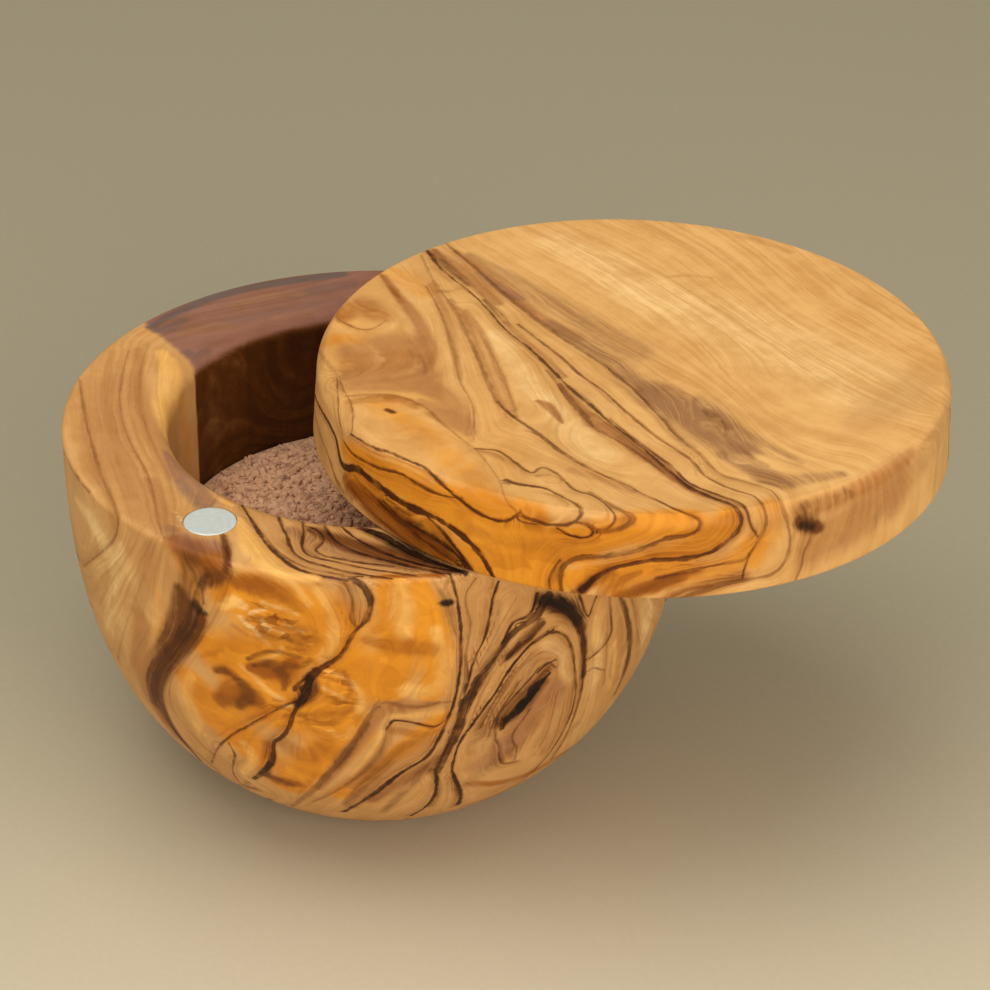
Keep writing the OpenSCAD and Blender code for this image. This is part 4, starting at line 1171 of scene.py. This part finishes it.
class Graph:
    """Short ways to add nodes to a material."""

    def __init__(self, name):
        self.material = bpy.data.materials.new(name)
        self.material.use_nodes = True
        self.tree = self.material.node_tree
        self.tree.nodes.clear()
        self.out = self.tree.nodes.new("ShaderNodeOutputMaterial")
        self.shader = self.tree.nodes.new("ShaderNodeBsdfPrincipled")
        self.tree.links.new(self.shader.outputs[0], self.out.inputs["Surface"])

    def put(self, socket, value):
        if isinstance(value, bpy.types.NodeSocket):
            self.tree.links.new(value, socket)
        else:
            socket.default_value = value

    def node(self, kind, inputs=(), **settings):
        made = self.tree.nodes.new("ShaderNode" + kind)
        for key, value in settings.items():
            setattr(made, key, value)
        for key, value in dict(inputs).items():
            self.put(made.inputs[key], value)
        return made

    def math(self, operation, a, b=0.0):
        made = self.node("Math", operation=operation)
        self.put(made.inputs[0], a)
        self.put(made.inputs[1], b)
        return made.outputs[0]

    def scaled(self, vector, factor):
        made = self.node("VectorMath", {0: vector}, operation="SCALE")
        made.inputs["Scale"].default_value = factor
        return made.outputs[0]

    def noise(self, vector, scale, detail=2.0, rough=0.5, w=None):
        kind = "3D" if w is None else "4D"
        inputs = {"Vector": vector, "Scale": scale, "Detail": detail, "Roughness": rough}
        made = self.node("TexNoise", inputs, noise_dimensions=kind)
        if w is not None:
            self.put(made.inputs["W"], w)
        return made.outputs["Fac"]

    def along_grain(self, place, ring, scale, detail, per_ring):
        """A noise drawn out along the growth rings."""
        return self.noise(self.scaled(place, scale), 1.0, detail, w=self.math("MULTIPLY", ring, per_ring))

    def swing(self, value, amount):
        """A number from 0 to 1 made to swing by amount about 0."""
        return self.math("MULTIPLY", self.math("SUBTRACT", value, 0.5), amount)

    def total(self, first, *others):
        for other in others:
            first = self.math("ADD", first, other)
        return first

    def fade(self, value, start, end, low=0.0, high=1.0):
        """low where value is at start, high at end, and a soft step between."""
        made = self.node("MapRange", interpolation_type="SMOOTHSTEP", clamp=True)
        names = ("Value", "From Min", "From Max", "To Min", "To Max")
        for key, v in zip(names, (value, start, end, low, high)):
            self.put(made.inputs[key], v)
        return made.outputs[0]

    def mix(self, share, a, b, blend="MIX"):
        made = self.node("Mix", data_type="RGBA", blend_type=blend)
        self.put(made.inputs[0], share)
        self.put(made.inputs[6], a)
        self.put(made.inputs[7], b)
        return made.outputs[2]

    def ramp(self, value, stops):
        made = self.node("ValToRGB", {0: value})
        ramp = made.color_ramp
        while len(ramp.elements) < len(stops):
            ramp.elements.new(0.5)
        for element, (at, colour) in zip(ramp.elements, stops):
            element.position = at
            element.color = colour
        return made.outputs[0]

    def channels(self, name):
        """The four numbers that store() put on the vertices."""
        found = self.node("Attribute", attribute_name=name, attribute_type="GEOMETRY")
        split = self.node("SeparateColor", {0: found.outputs["Color"]})
        return split.outputs[0], split.outputs[1], split.outputs[2], found.outputs["Alpha"]

    def place(self):
        """Where a point lies in its own piece, in mm."""
        return self.scaled(self.node("TexCoord").outputs["Object"], 1 / MM)

    def set(self, **values):
        for key, value in values.items():
            self.put(self.shader.inputs[key.replace("_", " ")], value)

    def bump(self, height, strength, depth_mm):
        made = self.node("Bump", {"Strength": strength, "Distance": depth_mm * MM, "Height": height})
        self.set(Normal=made.outputs[0])


# Colours of the washes; umber and soot also lay painted shade on the well's wall, and tan, rust, smoke,
# umber and soot on the lid's side and the rim by the lid
STAIN_AND_SHADE_COLOURS = {
    "amber": srgb(227, 147, 38),
    "honey": srgb(244, 186, 102),
    "pale": srgb(246, 204, 138),
    "tan": srgb(186, 128, 72),
    "rust": srgb(168, 96, 22),
    "rose": srgb(152, 104, 84),
    "slate": srgb(112, 92, 84),
    "smoke": srgb(160, 112, 70),
    "umber": srgb(110, 60, 16),
    "soot": srgb(50, 28, 10),
}
LINE_DARK = (0.12, 0.09, 0.10, 1.0)
LINE_BROWN = (0.36, 0.25, 0.17, 1.0)
HALO_BROWN = (0.62, 0.50, 0.38, 1.0)
STREAK_LIGHT = (1.08, 1.10, 1.12, 1.0)
STREAK_DARK = (0.84, 0.77, 0.66, 1.0)
CHIP_DARK = (0.55, 0.46, 0.36, 1.0)
CHIP_LIGHT = (1.18, 1.24, 1.5, 1.0)
CHIP_SCALE = (0.42, 0.42, 1.15)
CHIP_BEND = 0.9
PLATE_SCALE = (0.16, 0.16, 0.3)
PLATE_BEND = 2.4
PLATE_SHARE = 0.75
PLATE_TURN = (0.5, 0.0, 0.4)
PLATE_SOFTNESS = 0.12
PLATE_WANDER = 0.45
# Noises: scale per mm, detail, roughness
SLOW_NOISE = (0.09, 3.0)
QUICK_NOISE = (0.7, 3.0)
MOTTLE_NOISE = (0.16, 5.0, 0.62)
WOBBLE_NOISE = (0.8, 3.0, 0.55)
SWELL_NOISE = (0.35, 2.0)
PATCHY_NOISE = (0.28, 3.0, 0.6)
# Noises that run along the grain, broad, fine, hair and fibre: scale, detail, and change from ring to ring
GRAINS = ((0.03, 2.0, 2.3), (0.07, 3.0, 9.0), (0.2, 2.0, 30.0), (0.12, 3.0, 18.0))
# How far the noises shift the rings, the tone and the edges of washes
RING_SLOW = 0.5
RING_QUICK = 0.08
TONE_BROAD = 0.35
TONE_FINE = 0.4
TONE_HAIR = 0.22
TONE_MOTTLE = 0.4
TONE_SPAN = 0.14
EDGE_FINE = 0.8
EDGE_QUICK = 0.25
EDGE_MOTTLE = 0.5
# Fades, each from where to where, and between which two values if those aren't 0 and 1
PACKED_SLOPES = (0.05, 0.22)
SMOKE_FIBRE = (0.3, 0.68, 0.62, 1.08)
WASH_FADE = (0.03, 0.97)
SWELL_FADE = (0.3, 0.7, 0.7, 1.3)
PATCHY_FADE = (0.3, 0.55, 0.68, 1.0)
STREAKY_FADE = (0.38, 0.62)
LINE_EDGE = (0.22, -0.16)
HALO_REACH = (-0.4, 0.4, 0.5, 1.9)
RING_EDGE = (0.3, -0.15)
RING_LUCK = (0.25, 0.9)
AMBER_CALM = 0.55
# Traced lines, in mm: how far they wander, how wide against the traced width, and how far past their ends
LINE_WOBBLE = 0.4
LINE_SCALE = 0.72
GATE = 0.42
INK_FULL = 1.02
# Growth lines: rings from one to the next, the widest half width in mm, and the strength
HIDDEN_LINES = (1.0, 0.4, 0.95)
FAINT_LINES = (0.45, 0.3, 0.26)
RING_GLOW = 1.4
RING_GLOW_SHARE = 0.6
WOOD_SPECULAR = 0.18


def plates(g, place, scale, bend):
    """A number from 0 to 1 that differs from one ragged plate of wood to the next."""
    wander = g.node("TexNoise", {"Vector": place, "Scale": PLATE_WANDER, "Detail": 3.0}).outputs["Color"]
    wander = g.node("VectorMath", {0: wander, 1: (0.5, 0.5, 0.5)}, operation="SUBTRACT").outputs[0]
    bent = g.node("VectorMath", {0: place, 1: g.scaled(wander, bend)}, operation="ADD").outputs[0]
    bent = g.node("Mapping", {"Vector": bent, "Rotation": PLATE_TURN, "Scale": scale}).outputs[0]
    cell = g.node("TexVoronoi", {"Vector": bent, "Scale": 1.0}, feature="SMOOTH_F1")
    cell.inputs["Smoothness"].default_value = PLATE_SOFTNESS
    return g.node("SeparateColor", {0: cell.outputs["Color"]}).outputs[0]


def wood_material(name, base, ring_offset):
    """Olive wood whose growth rings, stains, painted shade and light, and dark lines come from the numbers
    on the vertices.
    """
    g = Graph(name)
    place = g.place()
    ring, slope, seen, _ = g.channels("grain")
    stains_and_shade = dict(zip(STAIN_AND_SHADE_KINDS, (share for layer in STAIN_AND_SHADE_LAYERS for share in g.channels(layer))))
    amber = stains_and_shade["amber"]

    slow = g.noise(place, *SLOW_NOISE)
    quick = g.noise(place, *QUICK_NOISE)
    ring = g.total(ring, g.total(g.swing(slow, RING_SLOW), g.swing(quick, RING_QUICK)))

    broad, fine, hair, fibre = (g.along_grain(place, ring, *grain) for grain in GRAINS)
    mottle = g.noise(place, *MOTTLE_NOISE)
    packed = g.math("MULTIPLY", g.fade(slope, *PACKED_SLOPES), g.fade(amber, 0.0, 1.0, 1.0, AMBER_CALM))
    tone = g.swing(broad, TONE_BROAD)
    for part, weight in ((fine, TONE_FINE), (hair, TONE_HAIR)):
        tone = g.total(tone, g.swing(part, g.math("MULTIPLY", packed, weight)))
    tone = g.total(tone, g.swing(mottle, TONE_MOTTLE))
    tone = g.fade(tone, -TONE_SPAN, TONE_SPAN)

    # washes, with edges that feather along the grain
    colour = base
    edge = g.total(g.swing(fine, EDGE_FINE), g.swing(quick, EDGE_QUICK), g.swing(mottle, EDGE_MOTTLE))
    for kind, stain_and_shade_colour in STAIN_AND_SHADE_COLOURS.items():
        share = stains_and_shade[kind]
        if kind == "smoke":
            share = g.math("MULTIPLY", share, g.fade(fibre, *SMOKE_FIBRE))
        ragged = g.math("ADD", share, g.math("MULTIPLY", edge, g.fade(share, 0.0, 0.5)))
        colour = g.mix(g.fade(ragged, *WASH_FADE), colour, stain_and_shade_colour)
    colour = g.mix(1.0, colour, g.mix(tone, STREAK_DARK, STREAK_LIGHT), "MULTIPLY")
    chip = g.mix(plates(g, place, CHIP_SCALE, CHIP_BEND), CHIP_DARK, CHIP_LIGHT)
    colour = g.mix(stains_and_shade["flake"], colour, g.mix(1.0, colour, chip, "MULTIPLY"))
    plate = g.mix(plates(g, place, PLATE_SCALE, PLATE_BEND), STREAK_DARK, STREAK_LIGHT)
    plated = g.mix(1.0, colour, plate, "MULTIPLY")
    colour = g.mix(g.math("MULTIPLY", amber, PLATE_SHARE), colour, plated)

    # dark lines that were traced
    wobble = g.swing(g.noise(place, *WOBBLE_NOISE), LINE_WOBBLE)
    swell = g.fade(g.noise(place, *SWELL_NOISE), *SWELL_FADE)
    patchy = g.fade(g.noise(place, *PATCHY_NOISE), *PATCHY_FADE)
    streaky = g.fade(fine, *STREAKY_FADE)
    ink, halo = 0.0, 0.0
    for layer in VEIN_LAYERS:
        side, away, half, dark = g.channels(layer)
        near = g.math("ABSOLUTE", g.math("ADD", side, wobble))
        near = g.math("MAXIMUM", near, g.math("SUBTRACT", away, GATE))
        rel = g.math("SUBTRACT", near, g.math("MULTIPLY", g.math("MULTIPLY", half, swell), LINE_SCALE))
        core = g.math("MULTIPLY", g.fade(rel, *LINE_EDGE), g.math("MULTIPLY", dark, patchy))
        ink = g.math("MAXIMUM", core, ink)
        reach = g.fade(side, *HALO_REACH)
        glow = g.fade(g.math("DIVIDE", rel, reach), 1.0, 0.0)
        glow = g.math("MULTIPLY", glow, g.math("MULTIPLY", dark, streaky))
        halo = g.math("MAXIMUM", glow, halo)

    # faint growth lines everywhere, and dark ones on the sides that the photograph doesn't show
    hidden = g.math("SUBTRACT", 1.0, seen)
    for (step, width_top, strength), where in ((HIDDEN_LINES, hidden), (FAINT_LINES, packed)):
        scaled = g.math("DIVIDE", ring, step)
        whole = g.math("ROUND", scaled)
        off = g.math("MULTIPLY", g.math("ABSOLUTE", g.math("SUBTRACT", scaled, whole)), step)
        off = g.math("DIVIDE", off, slope)
        luck = g.node("TexWhiteNoise", {"W": g.math("ADD", whole, ring_offset)}, noise_dimensions="1D")
        luck = luck.outputs["Value"]
        rel = g.math("SUBTRACT", off, g.math("MULTIPLY", luck, width_top))
        line = g.math("MULTIPLY", g.fade(rel, *RING_EDGE), g.fade(luck, *RING_LUCK))
        line = g.math("MULTIPLY", g.math("MULTIPLY", line, patchy), g.math("MULTIPLY", where, strength))
        ink = g.math("MAXIMUM", ink, line)
        glow = g.fade(rel, RING_GLOW, 0.0)
        glow = g.math("MULTIPLY", glow, g.math("MULTIPLY", where, strength * RING_GLOW_SHARE))
        halo = g.math("MAXIMUM", halo, g.math("MULTIPLY", glow, g.math("MULTIPLY", luck, streaky)))

    colour = g.mix(halo, colour, g.mix(1.0, colour, HALO_BROWN, "MULTIPLY"))
    pen = g.mix(g.fade(ink, 0.5, 1.0), LINE_BROWN, LINE_DARK)
    colour = g.mix(g.fade(ink, 0.0, INK_FULL), colour, g.mix(1.0, colour, pen, "MULTIPLY"))

    g.set(Base_Color=colour, Roughness=g.math("ADD", g.math("MULTIPLY", fine, 0.14), 0.42))
    g.shader.inputs["Specular IOR Level"].default_value = WOOD_SPECULAR
    g.bump(g.math("ADD", g.math("MULTIPLY", hair, 0.6), g.math("MULTIPLY", ink, -0.8)), 0.3, 0.1)
    return g.material


def streaks(g, place, scale, detail):
    """A noise stretched along the scratches or turning marks of metal."""
    return g.noise(g.node("Mapping", {"Vector": place, "Scale": scale}).outputs[0], 1.0, detail)


def nickel_material():
    g = Graph("magnet_nickel")
    place = g.place()
    scuff = g.noise(place, 1.2, 4.0, 0.6)
    lines = streaks(g, place, (1.0, 14.0, 1.0), 2.0)
    colour = g.mix(scuff, srgb(205, 214, 208), srgb(232, 238, 233))
    rough = g.math("ADD", g.math("MULTIPLY", scuff, 0.25), 0.35)
    g.set(Base_Color=colour, Metallic=0.4, Roughness=rough)
    g.bump(lines, 0.2, 0.05)
    return g.material


def steel_material():
    g = Graph("pin_steel")
    place = g.place()
    turned = streaks(g, place, (0.2, 0.2, 9.0), 3.0)
    colour = g.mix(turned, srgb(176, 178, 180), srgb(208, 209, 210))
    rough = g.math("ADD", g.math("MULTIPLY", turned, 0.2), 0.22)
    g.set(Base_Color=colour, Metallic=1.0, Roughness=rough)
    g.bump(turned, 0.15, 0.04)
    return g.material


SALT_TINTS = ((0.32, srgb(150, 104, 78)), (0.48, srgb(196, 144, 104)), (0.66, srgb(214, 166, 124)))
SALT_SPARK = srgb(236, 208, 176)


def salt_material():
    g = Graph("salt")
    place = g.place()
    tint = g.noise(place, 0.5, 3.0, 0.65)
    grain = g.noise(place, 1.6, 3.0, 0.6)
    colour = g.mix(g.math("MULTIPLY", grain, 0.3), g.ramp(tint, SALT_TINTS), SALT_SPARK)
    g.set(Base_Color=colour, Roughness=0.8)
    g.shader.inputs["Specular IOR Level"].default_value = 0.3
    g.bump(grain, 0.2, 0.1)
    return g.material


MESH_GAP = 0.5
SEGMENTS = 640
POCKET_SEGMENTS = 160
SMALL_SEGMENTS = 120
OVER = 1
BOWL_COLOUR = srgb(214, 160, 96)
LID_COLOUR = srgb(229, 175, 105)
BOWL_RING_OFFSET = 3.7
LID_RING_OFFSET = 11.2
# rose: the rim's dark wood at the back; umber and soot: painted shade over dark wood on the well's wall
BOWL_SHADES = (("rose", 1.0, rim_shade), ("umber", 1.3, well_painted_shade), ("soot", 0.6, well_painted_shade))


def give(obj, material, body, slot, *nodes):
    """Puts a material on a piece, and says its body and the CAD nodes it replaces. The slot argument is not
    used.
    """
    obj.data.materials.clear()
    obj.data.materials.append(material)
    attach(obj, body)
    if nodes:
        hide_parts(*nodes)


def build_bowl():
    bowl = lathe("bowl_turned", bowl_outline(MESH_GAP), SEGMENTS)
    bore(bowl, (0, PIVOT_R), RIM_Z - PIN_SEAT, RIM_Z + OVER, PIN_R - PIN_PRESS)
    bore(bowl, (0, -PIVOT_R), RIM_Z - MAGNET_T, RIM_Z + OVER, POCKET_R, POCKET_SEGMENTS)
    smooth(bowl)
    figure(bowl, BOWL_LINES, BOWL_GUIDES, BOWL_WASHES, BOWL_SHADES)
    give(bowl, wood_material("bowl_wood", BOWL_COLOUR, BOWL_RING_OFFSET), "base", "bowl_wood", "bowl")


def build_lid():
    lid = lathe("lid_turned", lid_outline(MESH_GAP), SEGMENTS, (LID_X, LID_Y))
    bore(lid, (0, PIVOT_R), LID_Z - OVER, LID_Z + PIN_HOLE_DEPTH, PIN_R + PIN_RUN)
    bore(lid, LID_MAGNET_PLACE, LID_Z - OVER, LID_Z + MAGNET_T, POCKET_R, POCKET_SEGMENTS)
    smooth(lid)
    figure(lid, LID_LINES, LID_GUIDES, LID_WASHES)
    give(lid, wood_material("lid_wood", LID_COLOUR, LID_RING_OFFSET), "lid", "lid_wood", "lid")


MAGNET_SOFT = 0.3


def build_magnet(name, centre, z_back, z_face, body, node):
    """A disc with a softened edge round its shown face, which lies at z_face."""
    up = 1 if z_face > z_back else -1
    edge = arc(MAGNET_R - MAGNET_SOFT, 0.0, MAGNET_SOFT, 0, 90, 6)
    edge = [(r, z_face - up * (MAGNET_SOFT - z)) for r, z in edge]
    outline = spaced([(0.0, z_back), (MAGNET_R, z_back), *edge, (0.0, z_face)], MESH_GAP)
    if up < 0:
        outline = outline[::-1]
    magnet = lathe(name, outline, SMALL_SEGMENTS, centre)
    smooth(magnet)
    give(magnet, nickel_material(), body, "magnet_nickel", node)


CRYSTALS = 6000
CRYSTAL_SIZE = 0.5
CRYSTAL_SIZE_MORE = 0.75
CRYSTAL_LIFT = (-0.3, 0.35)
CRYSTAL_CORNERS = (0.75, 1.15)
CRYSTAL_EDGE = 1.0
SALT_SINK = 1.1
SALT_EDGE_SINK = 1.2
SALT_DIP = 0.55
FLATNESS = np.array((1.0, 1.0, 0.85))
GOLDEN = (1 + math.sqrt(5)) / 2
LUMP_CORNERS = np.array([
    (-1, GOLDEN, 0), (1, GOLDEN, 0), (-1, -GOLDEN, 0), (1, -GOLDEN, 0),
    (0, -1, GOLDEN), (0, 1, GOLDEN), (0, -1, -GOLDEN), (0, 1, -GOLDEN),
    (GOLDEN, 0, -1), (GOLDEN, 0, 1), (-GOLDEN, 0, -1), (-GOLDEN, 0, 1),
])
LUMP_FACES = np.array([
    (0, 11, 5), (0, 5, 1), (0, 1, 7), (0, 7, 10), (0, 10, 11),
    (1, 5, 9), (5, 11, 4), (11, 10, 2), (10, 7, 6), (7, 1, 8),
    (3, 9, 4), (3, 4, 2), (3, 2, 6), (3, 6, 8), (3, 8, 9),
    (4, 9, 5), (2, 4, 11), (6, 2, 10), (8, 6, 7), (9, 8, 1),
])


def add_crystals(heap, rng, top):
    """Crowds the heap's top with irregular little lumps, in the same mesh."""
    corners = LUMP_CORNERS / np.linalg.norm(LUMP_CORNERS[0])
    r = (SALT_R - CRYSTAL_EDGE) * np.sqrt(rng.random(CRYSTALS))
    a = rng.random(CRYSTALS) * 2 * math.pi
    size = CRYSTAL_SIZE + CRYSTAL_SIZE_MORE * rng.random(CRYSTALS) ** 2
    lift = rng.uniform(*CRYSTAL_LIFT, CRYSTALS)
    verts, faces = [], []
    for i in range(CRYSTALS):
        x, y = r[i] * math.cos(a[i]), r[i] * math.sin(a[i])
        turn = np.linalg.qr(rng.normal(size=(3, 3)))[0]
        turn *= np.sign(np.linalg.det(turn))
        lump = corners * rng.uniform(*CRYSTAL_CORNERS, (len(corners), 1)) * size[i]
        lump = lump * np.array([1, rng.uniform(0.7, 1), rng.uniform(0.55, 1)])
        verts.append(lump @ turn.T * FLATNESS + np.array([x, y, top(x, y) + lift[i]]))
        faces.append(LUMP_FACES + len(corners) * i)
    mesh = heap.data
    old = np.empty(len(mesh.vertices) * 3)
    mesh.vertices.foreach_get("co", old)
    old = old.reshape(-1, 3) / MM
    old_faces = [tuple(p.vertices) for p in mesh.polygons]
    new = np.vstack(faces) + len(old)
    joined = np.vstack([old] + verts) * MM
    mesh.clear_geometry()
    mesh.from_pydata(joined.tolist(), [], old_faces + new.tolist())
    mesh.update()


def build_salt(rng):
    """Loose coarse salt: a low heap whose top is crowded with small crystals."""
    crown_r = (SALT_R ** 2 + SALT_CROWN ** 2) / (2 * SALT_CROWN)

    def top(x, y):
        r2 = x * x + y * y
        dip = SALT_DIP * math.sin(0.21 * x + 1.1) * math.cos(0.17 * y - 0.6)
        crown = SALT_EDGE_Z + SALT_CROWN - crown_r + math.sqrt(crown_r ** 2 - r2) - SALT_SINK
        return crown + dip * (1 - r2 / SALT_R ** 2)

    corner_r = WELL_CORNER_R - (SALT_FLOOR_Z - WELL_FLOOR_Z)
    low = arc(SALT_R - corner_r, SALT_FLOOR_Z + corner_r, corner_r, -90, 0, 12)
    edge_z = SALT_EDGE_Z - SALT_EDGE_SINK
    flat = [(r, edge_z) for r in np.linspace(SALT_R, 0.0, 30)]
    heap = lathe("salt_heap", [(0.0, SALT_FLOOR_Z)] + low + flat, SMALL_SEGMENTS)
    for v in heap.data.vertices:
        x, y, z = v.co / MM
        if z > edge_z - 0.01:
            v.co.z = min(top(x, y), SALT_EDGE_Z + SALT_CROWN) * MM
    add_crystals(heap, rng, top)
    give(heap, salt_material(), "base", "salt", "salt_fill")


# The paper's colours, each between two flecks, and the stretch in metres where one gives way to the other;
# the far colour is darker, painted shade for the dimmer light and the bowl's shadow behind it
PAPER_NEAR = (srgb(204, 191, 163), srgb(210, 198, 171))
PAPER_FAR_SHADED = (srgb(162, 153, 127), srgb(168, 159, 134))
PAPER_SHADE_FADE = (-0.085, 0.05)
FLECK_SCALE = 900.0


def floor_material():
    g = Graph("floor_paper")
    place = g.node("TexCoord").outputs["Object"]
    fleck = g.noise(place, FLECK_SCALE, 2.0)
    ahead = tuple(turned_about_z((0.0, 1.0, 0.0), EYE_TURN))
    away = g.node("VectorMath", {0: place, 1: ahead}, operation="DOT_PRODUCT").outputs["Value"]
    near, far = g.mix(fleck, *PAPER_NEAR), g.mix(fleck, *PAPER_FAR_SHADED)
    # painted shade: the paper darkens from just in front of the bowl to behind it
    colour = g.mix(g.fade(away, *PAPER_SHADE_FADE), near, far)
    g.set(Base_Color=colour, Roughness=0.9)
    g.shader.inputs["Specular IOR Level"].default_value = 0.1
    return g.material


# The paper, in metres
PAPER_BEND_R = 0.5
PAPER_FRONT = 1.2
PAPER_BACK = 0.9
PAPER_RISE = 1.6
PAPER_HALF_WIDTH = 1.8


def build_stage():
    """A sheet of paper that runs back over the table and bends up behind it."""
    section = [(-PAPER_FRONT, 0.0), (0.0, 0.0)]
    for a in np.radians(np.linspace(0, 90, 25)):
        section.append((PAPER_BACK + PAPER_BEND_R * math.sin(a), PAPER_BEND_R * (1 - math.cos(a))))
    section.append((PAPER_BACK + PAPER_BEND_R, PAPER_RISE))
    ahead = Vector((EYE_AHEAD[0], EYE_AHEAD[1], 0)).normalized()
    across = Vector((ahead.y, -ahead.x, 0))
    verts, faces = [], []
    for y, z in section:
        for x in (-PAPER_HALF_WIDTH, PAPER_HALF_WIDTH):
            verts.append(tuple(ahead * y + across * x + Vector((0, 0, z))))
    for i in range(len(section) - 1):
        faces.append((2 * i, 2 * i + 1, 2 * i + 3, 2 * i + 2))
    mesh = bpy.data.meshes.new("paper_sweep")
    mesh.from_pydata(verts, [], faces)
    mesh.shade_smooth()
    sweep = bpy.data.objects.new("paper_sweep", mesh)
    bpy.context.scene.collection.objects.link(sweep)
    mesh.materials.append(floor_material())


# Softboxes: name, place to the right, away and up from the camera's side in metres, size, watts and colour
SOFTBOXES = (
    ("top_softbox", (-0.15, -0.15, 1.05), 0.8, 5.2, (1.0, 0.98, 0.95)),
    ("front_softbox", (0.3, -1.1, 0.52), 0.7, 6.4, (1.0, 0.96, 0.9)),
)
LAMP_AIM = Vector((0, 0, 0.05))
ROOM_COLOUR = (1.0, 0.97, 0.93, 1.0)
ROOM_STRENGTH = 0.54


def add_softbox(name, offset, size, watts, colour):
    """A square lamp aimed at the bowl."""
    data = bpy.data.lights.new(name, "AREA")
    data.shape = "SQUARE"
    data.size = size
    data.energy = watts
    data.color = colour
    lamp = bpy.data.objects.new(name, data)
    place = Vector(turned_about_z(offset, EYE_TURN))
    lamp.location = place
    lamp.rotation_mode = "QUATERNION"
    lamp.rotation_quaternion = (LAMP_AIM - place).to_track_quat("-Z", "Y")
    bpy.context.scene.collection.objects.link(lamp)


def light_scene():
    world = bpy.data.worlds.new("room")
    bpy.context.scene.world = world
    world.use_nodes = True
    background = world.node_tree.nodes["Background"]
    background.inputs["Color"].default_value = ROOM_COLOUR
    background.inputs["Strength"].default_value = ROOM_STRENGTH
    for softbox in SOFTBOXES:
        add_softbox(*softbox)


add_camera()
build_stage()
light_scene()
build_bowl()
build_lid()
build_magnet("rim_magnet_disc", (0, -PIVOT_R), RIM_Z - MAGNET_T, RIM_Z, "base", "rim_magnet")
build_magnet("lid_magnet_disc", LID_MAGNET_PLACE, LID_Z + MAGNET_T, LID_Z, "lid", "lid_magnet")
build_salt(np.random.default_rng(SEED))
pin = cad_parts["pivot_pin"]
pin.data.materials.clear()
pin.data.materials.append(steel_material())

view = bpy.context.scene.view_settings
view.view_transform = "Standard"
